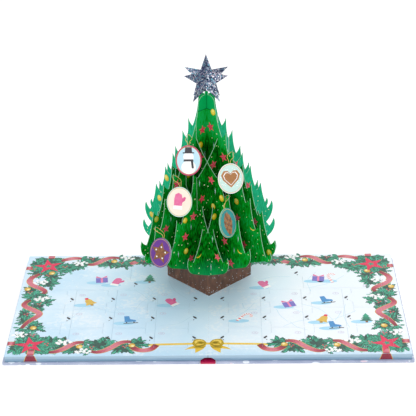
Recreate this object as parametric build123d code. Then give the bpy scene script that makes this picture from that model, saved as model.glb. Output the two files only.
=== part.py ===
from build123d import *
from math import cos, radians, sin, sqrt, tan
import os

# Pop-up advent calendar, standing open: a hardback with a tray of pockets in each half, die-cut
# doors over the pockets, and a tree of slotted cards on a square card trunk.
# Millimetres. X runs across the open book, -Y is the reader's side, Z = 0 is the table.

# Book halves
HALF_WIDTH = 260.0
DEPTH = 264.0
BOARD = 3.0
BOARD_OVERHANG = 3.0
TRAY = 8.2
SHEET = 0.8
GUTTER_GAP = 0.6
TUNNEL_TOP_WIDTH = 9.0
TUNNEL_FLOOR_WIDTH = 19.0
TUNNEL_ROOF = 3.7
SPINE_THICKNESS = 2.4
SPINE_CLEARANCE = 1.0
BOARD_CORNER = 2.0

# Doors and pockets
COLUMNS = 4
ROWS = 3
INNER_MARGIN = 26.6
OUTER_MARGIN = 21.7
FRONT_MARGIN = 17.6
BACK_MARGIN = 12.4
COLUMN_GAP = 12.7
ROW_GAP = 3.6
DOOR_HEIGHT = 46.4
DOOR_GAP = 0.3
DOOR_LEDGE = 1.3
TAB_REACH = 8.2
TAB_ROOT = 22.0
TAB_TIP = 10.0
THUMB_RADIUS = 2.6
LARGE_DOOR_WIDTH = {"left": 128.0, "right": 108.0}
LARGE_TAB_INSET = 14.0

# Tree
TREE_SETBACK = 58.5
CARD = 0.8
SLOT_CLEARANCE = 0.3
SLICE_PITCH = 20.4
TRUNK_HEIGHT = 32.0
BOUGH_SLOPE = 0.47
LEAF_INSET = 8.5
LEAF_DROP = 9.0
LEAF_SCOOP = 0.105
CURVE_SAG = 0.045
TIP_EASING = 1.2
HEEL_INSET = 9.0
BELLY = 2.0
CAP_HALF_WIDTH = 15.0
CAP_SHOULDER = 266.0
CAP_TOP = 273.0
CAP_BULGE = 2.0
TONGUE_WIDTH = 6.0
TONGUE_TOP = 278.0
MIDDLE_SLOT_TOP = 152.0
SLOT_STEP = 25.0
# Lowest leaf tip, highest leaf tip and crown of a middle, inner and outer slice, above the page, and
# how much further out the lowest tip stands at the end that shows on the tree's left or right side
TIERS = {
    0: {"low": (116.7, 79.0), "high": (36.0, 228.5), "tips": 6, "crown": CAP_TOP, "side": 0.0},
    1: {"low": (98.0, 86.0), "high": (46.5, 180.0), "tips": 4, "crown": 217.0, "side": 7.0},
    2: {"low": (77.0, 72.0), "high": (30.7, 133.0), "tips": 3, "crown": 155.0, "side": 10.5},
}

# Star
STAR_RADIUS = 34.5
STAR_INNER_SHARE = 0.41
STAR_TURN = 30.0
STAR_FOOT_WIDTH = 8.0
STAR_FOOT_DROP = 16.5

# Ornaments
POCKET_SIDE_CLEARANCE = 3.4
POCKET_END_CLEARANCE = 1.9
ORNAMENT_THICKNESS = 1.5
CORD = 0.7
CORD_SPREAD = 0.9
CORD_RISE = 4.1
CORD_BULGE = 3.4
# Slice family, slice, leaf tip counted from the lowest, the hanging ornament's middle as seen from
# that tip, and its turn and backward lean in degrees
HANGING = [
    ("b", 0, 5, (1.3, -17.0, -31.5), 0, 20),
    ("b", 0, 3, (7.7, -16.5, -33.3), -10, 20),
    ("a", 0, 4, (-2.8, -17.3, -32.6), 10, 20),
    ("a", -1, 2, (-1.6, -23.5, -31.1), 54, 15),
    ("b", 0, 1, (6.7, -16.4, -31.3), -35, 20),
]
# Small doors whose ornament is already on the tree
EMPTY_POCKETS = {"left": (2, 7, 9), "right": (4, 10)}

# Places worked out from the sizes above
PAGE_Z = BOARD + TRAY + SHEET
TRAY_TOP = BOARD + TRAY
DOOR_WIDTH = (HALF_WIDTH - INNER_MARGIN - OUTER_MARGIN - (COLUMNS - 1) * COLUMN_GAP) / COLUMNS
COLUMN_PITCH = DOOR_WIDTH + COLUMN_GAP
ROW_PITCH = DOOR_HEIGHT + ROW_GAP
FIRST_HINGE_X = INNER_MARGIN + DOOR_WIDTH
FRONT_ROW_Y = FRONT_MARGIN + DOOR_HEIGHT / 2 - DEPTH / 2
LARGE_DOOR_HEIGHT = DEPTH - FRONT_MARGIN - BACK_MARGIN - ROWS * ROW_PITCH
LARGE_DOOR_Y = DEPTH / 2 - BACK_MARGIN - LARGE_DOOR_HEIGHT / 2
LARGE_TAB_SHIFT = {"left": LARGE_TAB_INSET - LARGE_DOOR_HEIGHT / 2, "right": 0.0}
ORNAMENT_WIDTH = DOOR_WIDTH - 2 * (DOOR_LEDGE + POCKET_SIDE_CLEARANCE)
ORNAMENT_HEIGHT = DOOR_HEIGHT - 2 * (DOOR_LEDGE + POCKET_END_CLEARANCE)
TREE_Y = DEPTH / 2 - TREE_SETBACK
TRUNK_HALF = 2 * SLICE_PITCH
SIDES = {"left": -1, "right": 1}


def slab(side, x0, x1, y0, y1, z0, z1):
    """A box given by its corners, on the left or the right of the gutter."""
    x0, x1 = sorted((side * x0, side * x1))
    return Pos(x0, y0, z0) * Box(x1 - x0, y1 - y0, z1 - z0, align=Align.MIN)


def door_layout(name):
    """Hinge x, middle y, width, height and tab shift of each door, from the gutter and the front."""
    hinges = [FIRST_HINGE_X + n * COLUMN_PITCH for n in range(COLUMNS)]
    doors = []
    for row in range(ROWS):
        for hinge in hinges:
            doors.append((hinge, FRONT_ROW_Y + row * ROW_PITCH, DOOR_WIDTH, DOOR_HEIGHT, 0.0))
    large = (hinges[-1], LARGE_DOOR_Y, LARGE_DOOR_WIDTH[name], LARGE_DOOR_HEIGHT)
    doors.append(large + (LARGE_TAB_SHIFT[name],))
    return doors


def door_face(side, door):
    """A door's outline: a card with a tapered thumb tab on its gutter edge."""
    hinge, middle, width, height, shift = door
    free = hinge - width
    tab = middle + shift
    outline = [
        (hinge, middle - height / 2),
        (hinge, middle + height / 2),
        (free, middle + height / 2),
        (free, tab + TAB_ROOT / 2),
        (free - TAB_REACH, tab + TAB_TIP / 2),
        (free - TAB_REACH, tab - TAB_TIP / 2),
        (free, tab - TAB_ROOT / 2),
        (free, middle - height / 2),
    ]
    return make_face(Polyline([(side * x, y) for x, y in outline], close=True))


def door_card(side, door):
    """The door itself, lying on the ledge of its pocket."""
    hinge, middle, width, height, shift = door
    inset = (hinge - DOOR_GAP, middle, width - DOOR_GAP, height, shift)
    return Pos(0, 0, TRAY_TOP) * extrude(door_face(side, inset), SHEET)


def door_window(side, door):
    """The opening in the page for a door, with a half-round thumb notch at the tab."""
    hinge, middle, width, height, shift = door
    wider = (hinge, middle, width + DOOR_GAP, height + 2 * DOOR_GAP, shift)
    notch_x = side * (hinge - width - TAB_REACH - DOOR_GAP)
    face = door_face(side, wider) + Pos(notch_x, middle + shift) * Circle(THUMB_RADIUS)
    return Pos(0, 0, TRAY_TOP) * extrude(face, SHEET)


def cover(side):
    """A case board, wider than the tray on its three free sides."""
    board = slab(
        side,
        TUNNEL_FLOOR_WIDTH / 2 + SPINE_CLEARANCE,
        HALF_WIDTH + BOARD_OVERHANG,
        -DEPTH / 2 - BOARD_OVERHANG,
        DEPTH / 2 + BOARD_OVERHANG,
        0,
        BOARD,
    )
    upright = board.edges().filter_by(Axis.Z)
    outer = upright.sort_by(Axis.X)[-2:] if side > 0 else upright.sort_by(Axis.X)[:2]
    return fillet(outer, BOARD_CORNER)


def spine():
    """The spine board, on the table between the two covers."""
    depth = DEPTH + 2 * BOARD_OVERHANG
    return Pos(0, 0, SPINE_THICKNESS / 2) * Box(TUNNEL_FLOOR_WIDTH, depth, SPINE_THICKNESS)


def gutter_rail(side, end):
    """The tray's wall beside the gutter, cut back below to leave a tunnel over the spine."""
    section = [
        (TUNNEL_TOP_WIDTH / 2, TRAY_TOP),
        (TUNNEL_TOP_WIDTH / 2, TRAY_TOP - TUNNEL_ROOF),
        (TUNNEL_FLOOR_WIDTH / 2 + SPINE_CLEARANCE, BOARD),
        (end, BOARD),
        (end, TRAY_TOP),
    ]
    face = make_face(Plane.XZ * Polyline([(side * x, z) for x, z in section], close=True))
    return extrude(face, DEPTH / 2, both=True)


def tray(name):
    """The strips of board that frame the pockets of one half."""
    side = SIDES[name]
    doors = door_layout(name)
    back, front = DEPTH / 2, -DEPTH / 2
    first_x = FIRST_HINGE_X - DOOR_WIDTH + DOOR_LEDGE
    last_x = doors[-1][0] - DOOR_LEDGE
    half_pocket = DOOR_HEIGHT / 2 - DOOR_LEDGE
    row_ys = [FRONT_ROW_Y + row * ROW_PITCH for row in range(ROWS)]
    large_y0 = LARGE_DOOR_Y - LARGE_DOOR_HEIGHT / 2 + DOOR_LEDGE
    large_y1 = LARGE_DOOR_Y + LARGE_DOOR_HEIGHT / 2 - DOOR_LEDGE
    large_x = last_x + 2 * DOOR_LEDGE - LARGE_DOOR_WIDTH[name]

    def strip(x0, x1, y0, y1):
        return slab(side, x0, x1, y0, y1, BOARD, TRAY_TOP)

    roof = slab(
        side, GUTTER_GAP / 2, TUNNEL_TOP_WIDTH / 2, front, back, TRAY_TOP - TUNNEL_ROOF, TRAY_TOP
    )
    strips = [gutter_rail(side, first_x), roof, strip(last_x, HALF_WIDTH, front, back)]
    row_edges = [front] + [edge for y in row_ys for edge in (y - half_pocket, y + half_pocket)]
    row_edges.append(large_y0)
    for low, high in zip(row_edges[::2], row_edges[1::2]):
        strips.append(strip(first_x, last_x, low, high))
    for y in row_ys:
        for hinge, *_ in doors[: COLUMNS - 1]:
            wall_end = hinge + COLUMN_PITCH - DOOR_WIDTH + DOOR_LEDGE
            strips.append(strip(hinge - DOOR_LEDGE, wall_end, y - half_pocket, y + half_pocket))
    strips.append(strip(first_x, large_x, large_y0, back))
    strips.append(strip(large_x, last_x, large_y1, back))
    return Compound(strips)


def page(name):
    """The printed sheet over one tray, with a window for each door."""
    side = SIDES[name]
    sheet = slab(side, GUTTER_GAP / 2, HALF_WIDTH, -DEPTH / 2, DEPTH / 2, TRAY_TOP, PAGE_Z)
    return sheet - [door_window(side, door) for door in door_layout(name)]


def leaf_tips(level, at_side=False):
    """Leaf tips up one end of a slice, closer together towards the crown."""
    tier = TIERS[level]
    (low_w, low_z), (high_w, high_z) = tier["low"], tier["high"]
    if at_side:
        low_w += tier["side"]
    tips = []
    for n in range(tier["tips"]):
        share = 1 - (1 - n / (tier["tips"] - 1)) ** TIP_EASING
        tips.append((low_w + (high_w - low_w) * share, low_z + (high_z - low_z) * share))
    return tips


def sagging(start, end, sag):
    """A shallow arc from start to end, bowed to the right of its way by a share of its length."""
    (x0, z0), (x1, z1) = start, end
    middle = ((x0 + x1) / 2 + (z1 - z0) * sag, (z0 + z1) / 2 - (x1 - x0) * sag)
    return ThreePointArc(start, middle, end)


def slice_edges(level, at_side):
    """The edges of one end of a slice, from its crown down to the middle of its foot."""
    tips = leaf_tips(level, at_side)
    if level == 0:
        half_tongue = TONGUE_WIDTH / 2
        foot = (half_tongue, CAP_TOP)
        shoulder = (CAP_HALF_WIDTH, CAP_SHOULDER)
        bulge_w = (half_tongue + CAP_HALF_WIDTH) / 2 + CAP_BULGE
        bulge = (bulge_w, (CAP_TOP + CAP_SHOULDER) / 2 + CAP_BULGE)
        edges = [
            Polyline((0, TONGUE_TOP), (half_tongue, TONGUE_TOP), foot),
            ThreePointArc(foot, bulge, shoulder),
        ]
        upper = shoulder
    else:
        edges = []
        upper = (0, TIERS[level]["crown"])
    for tip in reversed(tips):
        notch = (tip[0] - LEAF_INSET, tip[1] - LEAF_DROP)
        edges += [sagging(upper, notch, CURVE_SAG), sagging(notch, tip, LEAF_SCOOP)]
        upper = tip
    low_w, low_z = tips[0]
    heel_w = low_w - HEEL_INSET
    heel = (heel_w, TRUNK_HEIGHT + BOUGH_SLOPE * (heel_w - TRUNK_HALF))
    belly = (low_w + BELLY, 0.55 * low_z + 0.45 * heel[1])
    edges.append(ThreePointArc(tips[0], belly, heel))
    edges.append(Polyline(heel, (TRUNK_HALF, TRUNK_HEIGHT), (0, TRUNK_HEIGHT)))
    return edges


def slice_face(number):
    """The outline of a slice in its own plane; all but the middle ones end once at the tree's side."""
    front = slice_edges(abs(number), number > 0)
    back = [mirror(edge, about=Plane.YZ) for edge in slice_edges(abs(number), number < 0)]
    return make_face([edge for line in front + back for edge in line.edges()])


def slot_top(first, second):
    """Height at which two crossing slices meet inside their slots."""
    return MIDDLE_SLOT_TOP - SLOT_STEP * (abs(first) + abs(second))


def slice_plane(family, number):
    """The upright plane of a slice: one family runs to the front right, the other to the front left."""
    offset = number * SLICE_PITCH / sqrt(2)
    if family == "a":
        return Plane((offset, TREE_Y + offset, PAGE_Z), x_dir=(1, -1, 0), z_dir=(-1, -1, 0))
    return Plane((-offset, TREE_Y + offset, PAGE_Z), x_dir=(-1, -1, 0), z_dir=(-1, 1, 0))


def tree_slice(family, number):
    """One card of the tree, slotted from below in one family and from above in the other."""
    face = slice_face(number)
    for other in range(-2, 3):
        middle = slot_top(number, other)
        low, high = (0, middle) if family == "a" else (middle, TONGUE_TOP + CARD)
        slot = Rectangle(CARD + SLOT_CLEARANCE, high - low)
        face -= Pos(other * SLICE_PITCH, (low + high) / 2) * slot
    return slice_plane(family, number) * extrude(face, CARD / 2, both=True)


def trunk():
    """The folded card box under the tree, standing on both pages."""
    wall = Rectangle(2 * TRUNK_HALF + CARD, 2 * TRUNK_HALF + CARD)
    wall -= Rectangle(2 * TRUNK_HALF - CARD, 2 * TRUNK_HALF - CARD)
    return Pos(0, TREE_Y, PAGE_Z) * Rot(0, 0, 45) * extrude(wall, TRUNK_HEIGHT)


def star_card(turn, slot_from_above):
    """One of the two crossing star cards, with a flat foot that stands on the tree's tongue."""
    points = []
    for n in range(10):
        radius = STAR_RADIUS if n % 2 == 0 else STAR_RADIUS * STAR_INNER_SHARE
        angle = radians(90 + 36 * n)
        points.append((radius * cos(angle), radius * sin(angle)))
    foot = [(-STAR_FOOT_WIDTH / 2, -STAR_FOOT_DROP), (STAR_FOOT_WIDTH / 2, -STAR_FOOT_DROP)]
    points[5:6] = foot
    face = make_face(Polyline(points, close=True))
    low, high = (0, STAR_RADIUS + CARD) if slot_from_above else (-STAR_RADIUS, 0)
    crossing = radians(2 * STAR_TURN)
    slot_width = CARD * (1 + cos(crossing)) / sin(crossing) + SLOT_CLEARANCE
    face -= Pos(0, (low + high) / 2) * Rectangle(slot_width, high - low)
    height = PAGE_Z + TONGUE_TOP + STAR_FOOT_DROP
    across = (cos(radians(turn)), sin(radians(turn)), 0)
    facing = (sin(radians(turn)), -cos(radians(turn)), 0)
    plane = Plane((0, TREE_Y, height), x_dir=across, z_dir=facing)
    return plane * extrude(face, CARD / 2, both=True)


def ornament_plane(hanging):
    """The plane of a hanging ornament, its x across and its y up the card."""
    family, number, index, offset, turn, lean = hanging
    facing = Vector(sin(radians(turn)), -cos(radians(turn)), 0)
    across = Vector(cos(radians(turn)), sin(radians(turn)), 0)
    normal = facing * cos(radians(lean)) + Vector(0, 0, 1) * sin(radians(lean))
    return Plane(leaf_point(family, number, index) + Vector(*offset), x_dir=across, z_dir=normal)


def leaf_point(family, number, index):
    """A leaf tip's place in the whole model."""
    return slice_plane(family, number).from_local_coords(Vector(*leaf_tips(abs(number), number > 0)[index]))


def ornament():
    """An oval card ornament, flat on its middle plane."""
    return extrude(Ellipse(ORNAMENT_WIDTH / 2, ORNAMENT_HEIGHT / 2), ORNAMENT_THICKNESS / 2, both=True)


def cord_points(hanging):
    """The route of a hanging loop: from the ornament's edge, behind the leaf tip and back."""
    family, number, index, *_ = hanging
    card = slice_plane(family, number)
    oval = ornament_plane(hanging)
    tip = leaf_point(family, number, index)
    outward = card.x_dir
    front = card.z_dir if card.z_dir.Y < 0 else -card.z_dir
    hand = 1 if outward.dot(oval.x_dir) > 0 else -1

    def around(reach, off, drop):
        return tip + outward * reach + front * off + Vector(0, 0, -drop)

    def strand(way, corner):
        end = oval.from_local_coords(Vector(way * CORD_SPREAD, ORNAMENT_HEIGHT / 2))
        rise = end + oval.y_dir * CORD_RISE
        bulge = (rise + corner) * 0.5 + oval.x_dir * (way * CORD_BULGE)
        return [end, rise, bulge, corner]

    outer = strand(hand, around(2.6, 1.8, 4.6)) + [around(1.6, -1.6, 3.4)]
    inner = strand(-hand, around(-4.3, 1.8, 4.6)) + [around(-3.4, -1.6, 3.4)]
    return outer + inner[::-1]


def cord(hanging):
    """A thin round cord along its route, each corner as round as its runs allow."""
    points = cord_points(hanging)
    radii = []
    for before, here, after in zip(points, points[1:], points[2:]):
        shorter = min((here - before).length, (after - here).length)
        turn = (here - before).get_angle(after - here)
        radii.append(0.45 * shorter / tan(radians(turn / 2)))
    path = FilletPolyline(*points, radius=radii)
    print("cord length", round(path.length, 1), "radii", [round(radius, 1) for radius in radii])
    return sweep(Plane(path @ 0, z_dir=path % 0) * Circle(CORD / 2), path=path)


def stored_ornaments(name):
    """The ornaments still lying in the small pockets of one half."""
    side = SIDES[name]
    height = BOARD + ORNAMENT_THICKNESS / 2
    lying = []
    for number, (hinge, middle, width, *_) in enumerate(door_layout(name)[:-1], start=1):
        if number not in EMPTY_POCKETS[name]:
            lying.append(Pos(side * (hinge - width / 2), middle, height) * ornament())
    return Compound(lying)


parts = {"spine_board": spine(), "trunk_box": trunk()}
for name, side in SIDES.items():
    parts[f"{name}_cover"] = cover(side)
    parts[f"{name}_tray"] = tray(name)
    parts[f"{name}_page"] = page(name)
    parts[f"{name}_stored_ornaments"] = stored_ornaments(name)
    for number, door in enumerate(door_layout(name), start=1):
        parts[f"{name}_door_{number:02d}"] = door_card(side, door)
for family in "ab":
    for number in range(-2, 3):
        parts[f"tree_slice_{family}{number + 3}"] = tree_slice(family, number)
parts["star_card_1"] = star_card(STAR_TURN, False)
parts["star_card_2"] = star_card(-STAR_TURN, True)
for number, hanging in enumerate(HANGING, start=1):
    parts[f"ornament_{number}"] = ornament_plane(hanging) * ornament()
    parts[f"ornament_cord_{number}"] = cord(hanging)

os.makedirs("parts", exist_ok=True)
for name, shape in parts.items():
    export_step(shape, f"parts/{name}.step")
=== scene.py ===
import bmesh
import bpy
import math
import random
from mathutils import Matrix, Vector


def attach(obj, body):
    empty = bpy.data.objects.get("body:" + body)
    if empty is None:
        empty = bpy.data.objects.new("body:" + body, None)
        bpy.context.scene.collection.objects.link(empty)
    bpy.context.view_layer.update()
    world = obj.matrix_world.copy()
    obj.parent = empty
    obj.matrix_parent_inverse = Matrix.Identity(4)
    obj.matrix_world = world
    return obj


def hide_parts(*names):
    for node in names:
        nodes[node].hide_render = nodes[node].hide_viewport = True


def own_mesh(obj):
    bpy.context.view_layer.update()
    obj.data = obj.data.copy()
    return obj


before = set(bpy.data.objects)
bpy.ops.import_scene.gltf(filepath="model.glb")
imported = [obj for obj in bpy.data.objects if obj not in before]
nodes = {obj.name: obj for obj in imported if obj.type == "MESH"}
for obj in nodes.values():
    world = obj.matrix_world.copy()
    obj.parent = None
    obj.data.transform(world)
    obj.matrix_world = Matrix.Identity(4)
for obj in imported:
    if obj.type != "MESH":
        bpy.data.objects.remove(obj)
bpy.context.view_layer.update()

# Places shared by the pieces, in metres
MM = 0.001
PAGE_TOP = 12 * MM
PAGE_SHEET = 0.8 * MM
PAGE_DEPTH = 264 * MM
TREE_Y = 73.5 * MM
TRAY_FRONT = -132 * MM
SIDES = {"left": -1, "right": 1}
DOORS_ON_HALF = 13


def colour(code):
    """A linear colour from an sRGB hex code."""
    parts = [int(code[i : i + 2], 16) / 255 for i in (1, 3, 5)]
    return tuple(c / 12.92 if c <= 0.04045 else ((c + 0.055) / 1.055) ** 2.4 for c in parts) + (1.0,)


def per_mm(size):
    """The texture scale whose features are about size millimetres across."""
    return 1000 / size


def add(tree, kind, inputs=None, stops=(), **settings):
    """Adds a node with its settings and colour stops.

    An input is set to a value, or linked to a socket or to a node's main output.
    """
    made = tree.nodes.new(kind)
    for key, value in settings.items():
        setattr(made, key, value)
    for n, (place, code) in enumerate(stops):
        elements = made.color_ramp.elements
        element = elements[n] if n < len(elements) else elements.new(place)
        element.position = place
        element.color = colour(code)
    for key, value in (inputs or {}).items():
        if isinstance(value, bpy.types.Node):
            value = next(socket for socket in value.outputs if socket.enabled)
        if isinstance(value, bpy.types.NodeSocket):
            tree.links.new(value, made.inputs[key])
        else:
            made.inputs[key].default_value = value
    return made


def surface(name, roughness, ior=1.5, metallic=0.0):
    """A new material with its shader, ready for its pattern."""
    made = bpy.data.materials.new(name)
    made.use_nodes = True
    shader = made.node_tree.nodes["Principled BSDF"]
    shader.inputs["Roughness"].default_value = roughness
    shader.inputs["IOR"].default_value = ior
    shader.inputs["Metallic"].default_value = metallic
    return made, made.node_tree, shader


def grain(tree, shader, vector, size, depth):
    """Fine relief on a surface: the feature size and the depth are in millimetres."""
    noise = add(tree, "ShaderNodeTexNoise", {"Vector": vector, "Scale": per_mm(size), "Detail": 3.0})
    bump = add(tree, "ShaderNodeBump", {"Height": noise, "Distance": depth * MM, "Strength": 0.6})
    tree.links.new(bump.outputs["Normal"], shader.inputs["Normal"])


# Materials


def ice_print():
    """Satin-coated printed paper: a pale ice picture with cloudy frost, bluer on the left page and paler on
    the right as a painted reflection.
    """
    made, tree, shader = surface("satin_printed_paper_ice", 0.38)
    place = add(tree, "ShaderNodeTexCoord").outputs["Object"]
    billow = {"Scale": per_mm(75), "Detail": 5.0, "Roughness": 0.6}
    cloud = add(tree, "ShaderNodeTexNoise", {"Vector": place, **billow})
    stops = [(0.30, "#C3E3F8"), (0.52, "#D4EBFB"), (0.72, "#E6F3FD")]
    painted = add(tree, "ShaderNodeValToRGB", {"Fac": cloud}, stops)
    split = add(tree, "ShaderNodeSeparateXYZ", {"Vector": place})
    # Distance from where the trunk's shadow falls on the page, for the painted tint there
    from_trunk_shadow = add(tree, "ShaderNodeVectorMath", {0: place, 1: (-0.025, 0.04, 0.012)}, operation="DISTANCE")
    frost = add(tree, "ShaderNodeTexNoise", {"Vector": place, "Scale": per_mm(4.5), "Detail": 6.0})
    patch = add(tree, "ShaderNodeTexNoise", {"Vector": place, "Scale": per_mm(40), "Detail": 2.0})
    both = add(tree, "ShaderNodeMath", {0: frost, 1: patch}, operation="MULTIPLY")
    # Paler to the right as a painted reflection; bluer round the trunk, where its shadow falls, partly the
    # print's deeper blue and partly a painted tint of that shadow; bluer by the front edge; with frost over
    # all
    layers = (
        (split.outputs["X"], -0.08, 0.14, 0.0, 0.85, "#F2F7FD"),
        (from_trunk_shadow, 0.03, 0.15, 0.7, 0.0, "#C4E8FF"),
        (split.outputs["Y"], -0.132, -0.105, 0.7, 0.0, "#B4D8F0"),
        (both, 0.29, 0.37, 0.0, 0.4, "#F4FAFE"),
    )
    for value, low, high, first, last, code in layers:
        limits = {"From Min": low, "From Max": high, "To Min": first, "To Max": last}
        share = add(tree, "ShaderNodeMapRange", {"Value": value, **limits})
        painted = add(tree, "ShaderNodeMix", {0: share, 6: painted, 7: colour(code)}, data_type="RGBA")
    tree.links.new(painted.outputs[2], shader.inputs["Base Color"])
    grain(tree, shader, place, 0.9, 0.02)
    return made


def ink(name, stops, mottling, spread=0.35, roughness=0.4):
    """Printed ink: each motif has its own tint and shade, and mottling of a size in millimetres."""
    made, tree, shader = surface(name, roughness)
    place = add(tree, "ShaderNodeTexCoord").outputs["Object"]
    noise = add(tree, "ShaderNodeTexNoise", {"Vector": place, "Scale": per_mm(mottling), "Detail": 3.0})
    shade = add(tree, "ShaderNodeAttribute", attribute_name="shade").outputs["Fac"]
    tint = add(tree, "ShaderNodeAttribute", attribute_name="tint").outputs["Fac"]
    turned = add(tree, "ShaderNodeMath", {0: tint, 1: spread, 2: shade}, operation="MULTIPLY_ADD")
    mixed = add(tree, "ShaderNodeMath", {0: noise, 1: 0.4, 2: turned}, operation="MULTIPLY_ADD")
    settled = add(tree, "ShaderNodeMath", {0: mixed, 1: 0.2 + spread / 2}, operation="SUBTRACT")
    inked = add(tree, "ShaderNodeValToRGB", {"Fac": settled}, stops)
    tree.links.new(inked.outputs["Color"], shader.inputs["Base Color"])
    return made


def fir_print():
    """Satin-coated printed card: painted fir green with brush strokes, darker toward the middle folds as
    print and painted shade, plain teal on the side wings.
    """
    made, tree, shader = surface("satin_printed_card_fir", 0.6, ior=1.1)
    place = add(tree, "ShaderNodeUVMap", uv_map="card").outputs["UV"]
    split = add(tree, "ShaderNodeSeparateXYZ", {"Vector": place})
    out, height = split.outputs["X"], split.outputs["Y"]
    # Darker toward each card's middle fold: partly the print's own darker heart, partly painted shade of the
    # folds
    far = add(tree, "ShaderNodeMath", {0: out}, operation="ABSOLUTE")
    taper = {"From Min": 0.076, "From Max": 0.265, "To Min": 0.18, "To Max": 0.026}
    width = add(tree, "ShaderNodeMapRange", {"Value": height, **taper})
    reach = add(tree, "ShaderNodeMath", {0: far, 1: width}, operation="DIVIDE")
    turned = add(
        tree, "ShaderNodeMapping", {"Vector": place, "Rotation": (0, 0, 0.9), "Scale": (3.2, 0.8, 1.0)}
    )
    brush = {"Scale": per_mm(6), "Detail": 5.0, "Roughness": 0.7}
    stroke = add(tree, "ShaderNodeTexNoise", {"Vector": turned, **brush})
    clump = add(tree, "ShaderNodeTexNoise", {"Vector": place, "Scale": per_mm(24), "Detail": 2.0})
    shade = add(tree, "ShaderNodeMath", {0: stroke, 1: 3.6, 2: reach}, operation="MULTIPLY_ADD")
    tone = add(tree, "ShaderNodeMath", {0: clump, 1: 1.2, 2: shade}, operation="MULTIPLY_ADD")
    # Painted shade eased near the top, where the folds lie open
    lighter = {"From Min": 0.2, "From Max": 0.226, "To Max": 0.75}
    crown = add(tree, "ShaderNodeMapRange", {"Value": height, **lighter})
    open_tone = add(tree, "ShaderNodeMath", {0: tone, 1: crown}, operation="ADD")
    level = add(tree, "ShaderNodeMapRange", {"Value": open_tone, "From Min": 2.1, "From Max": 3.45})
    greens = [(0.0, "#002402"), (0.22, "#004A06"), (0.45, "#007E12"), (0.7, "#069A24"), (0.95, "#10A850")]
    fir = add(tree, "ShaderNodeValToRGB", {"Fac": level}, greens)
    teal = add(tree, "ShaderNodeValToRGB", {"Fac": stroke}, [(0.32, "#10A268"), (0.68, "#2CC898")])
    ends = {"From Min": 0.034, "From Max": 0.062, "To Min": 0.7, "To Max": 0.0}
    low = add(tree, "ShaderNodeMapRange", {"Value": height, **ends})
    tipped = add(tree, "ShaderNodeMix", {0: low, 6: fir, 7: colour("#14A064")}, data_type="RGBA")
    front = add(tree, "ShaderNodeMapRange", {"Value": out, "From Min": -0.0002, "From Max": 0.0002})
    painted = add(tree, "ShaderNodeMix", {0: front, 6: teal, 7: tipped}, data_type="RGBA")
    # The plain cap, the line under it and the slit down its middle
    cap = add(tree, "ShaderNodeMath", {0: height, 1: 0.2535}, operation="GREATER_THAN")
    line = add(tree, "ShaderNodeMath", {0: height, 1: 0.2532, 2: 0.0005}, operation="COMPARE")
    middle = add(tree, "ShaderNodeMath", {0: far, 1: 0.0007}, operation="LESS_THAN")
    slit = add(tree, "ShaderNodeMath", {0: middle, 1: cap}, operation="MULTIPLY")
    for mask, code in ((cap, "#05A457"), (line, "#03602E"), (slit, "#03602E")):
        painted = add(tree, "ShaderNodeMix", {0: mask, 6: painted, 7: colour(code)}, data_type="RGBA")
    tree.links.new(painted.outputs[2], shader.inputs["Base Color"])
    grain(tree, shader, place, 0.8, 0.02)
    return made


def card_edge():
    """The cut edge of coated card: its pale green core, a little fibrous."""
    made, tree, shader = surface("cut_card_edge", 0.8)
    place = add(tree, "ShaderNodeTexCoord").outputs["Object"]
    fibre = add(tree, "ShaderNodeTexNoise", {"Vector": place, "Scale": per_mm(1.5), "Detail": 3.0})
    stops = [(0.3, "#7FBF97"), (0.7, "#B5DCC3")]
    core = add(tree, "ShaderNodeValToRGB", {"Fac": fibre}, stops).outputs["Color"]
    tree.links.new(core, shader.inputs["Base Color"])
    return made


def bark_print():
    """Satin-coated printed card: brown bark with vertical grain and snow specks, thicker near the ground."""
    made, tree, shader = surface("satin_printed_card_bark", 0.4)
    place = add(tree, "ShaderNodeTexCoord").outputs["Object"]
    stretched = add(tree, "ShaderNodeMapping", {"Vector": place, "Scale": (1.0, 1.0, 0.35)})
    fibre = add(tree, "ShaderNodeTexNoise", {"Vector": stretched, "Scale": per_mm(5), "Detail": 5.0})
    stops = [(0.3, "#482C1E"), (0.5, "#643F2A"), (0.72, "#7E5236")]
    bark = add(tree, "ShaderNodeValToRGB", {"Fac": fibre}, stops).outputs["Color"]
    speck = add(tree, "ShaderNodeTexVoronoi", {"Vector": place, "Scale": per_mm(2.7), "Randomness": 1.0})
    pick = add(tree, "ShaderNodeSeparateXYZ", {"Vector": speck.outputs["Color"]})
    low = add(tree, "ShaderNodeSeparateXYZ", {"Vector": place})
    share = add(
        tree,
        "ShaderNodeMapRange",
        {"Value": low.outputs["Z"], "From Min": 0.012, "From Max": 0.046, "To Min": 0.8, "To Max": 0.1},
    )
    chosen = add(tree, "ShaderNodeMath", {0: pick.outputs["X"], 1: share}, operation="LESS_THAN")
    size = add(tree, "ShaderNodeMath", {0: pick.outputs["Y"], 1: 0.2, 2: 0.06}, operation="MULTIPLY_ADD")
    round_speck = add(tree, "ShaderNodeMath", {0: speck, 1: size}, operation="LESS_THAN")
    snow = add(tree, "ShaderNodeMath", {0: chosen, 1: round_speck}, operation="MULTIPLY")
    snowed = add(tree, "ShaderNodeMix", {0: snow, 6: bark, 7: colour("#C9D4DA")}, data_type="RGBA")
    tree.links.new(snowed.outputs[2], shader.inputs["Base Color"])
    grain(tree, shader, place, 1.2, 0.03)
    return made


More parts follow.
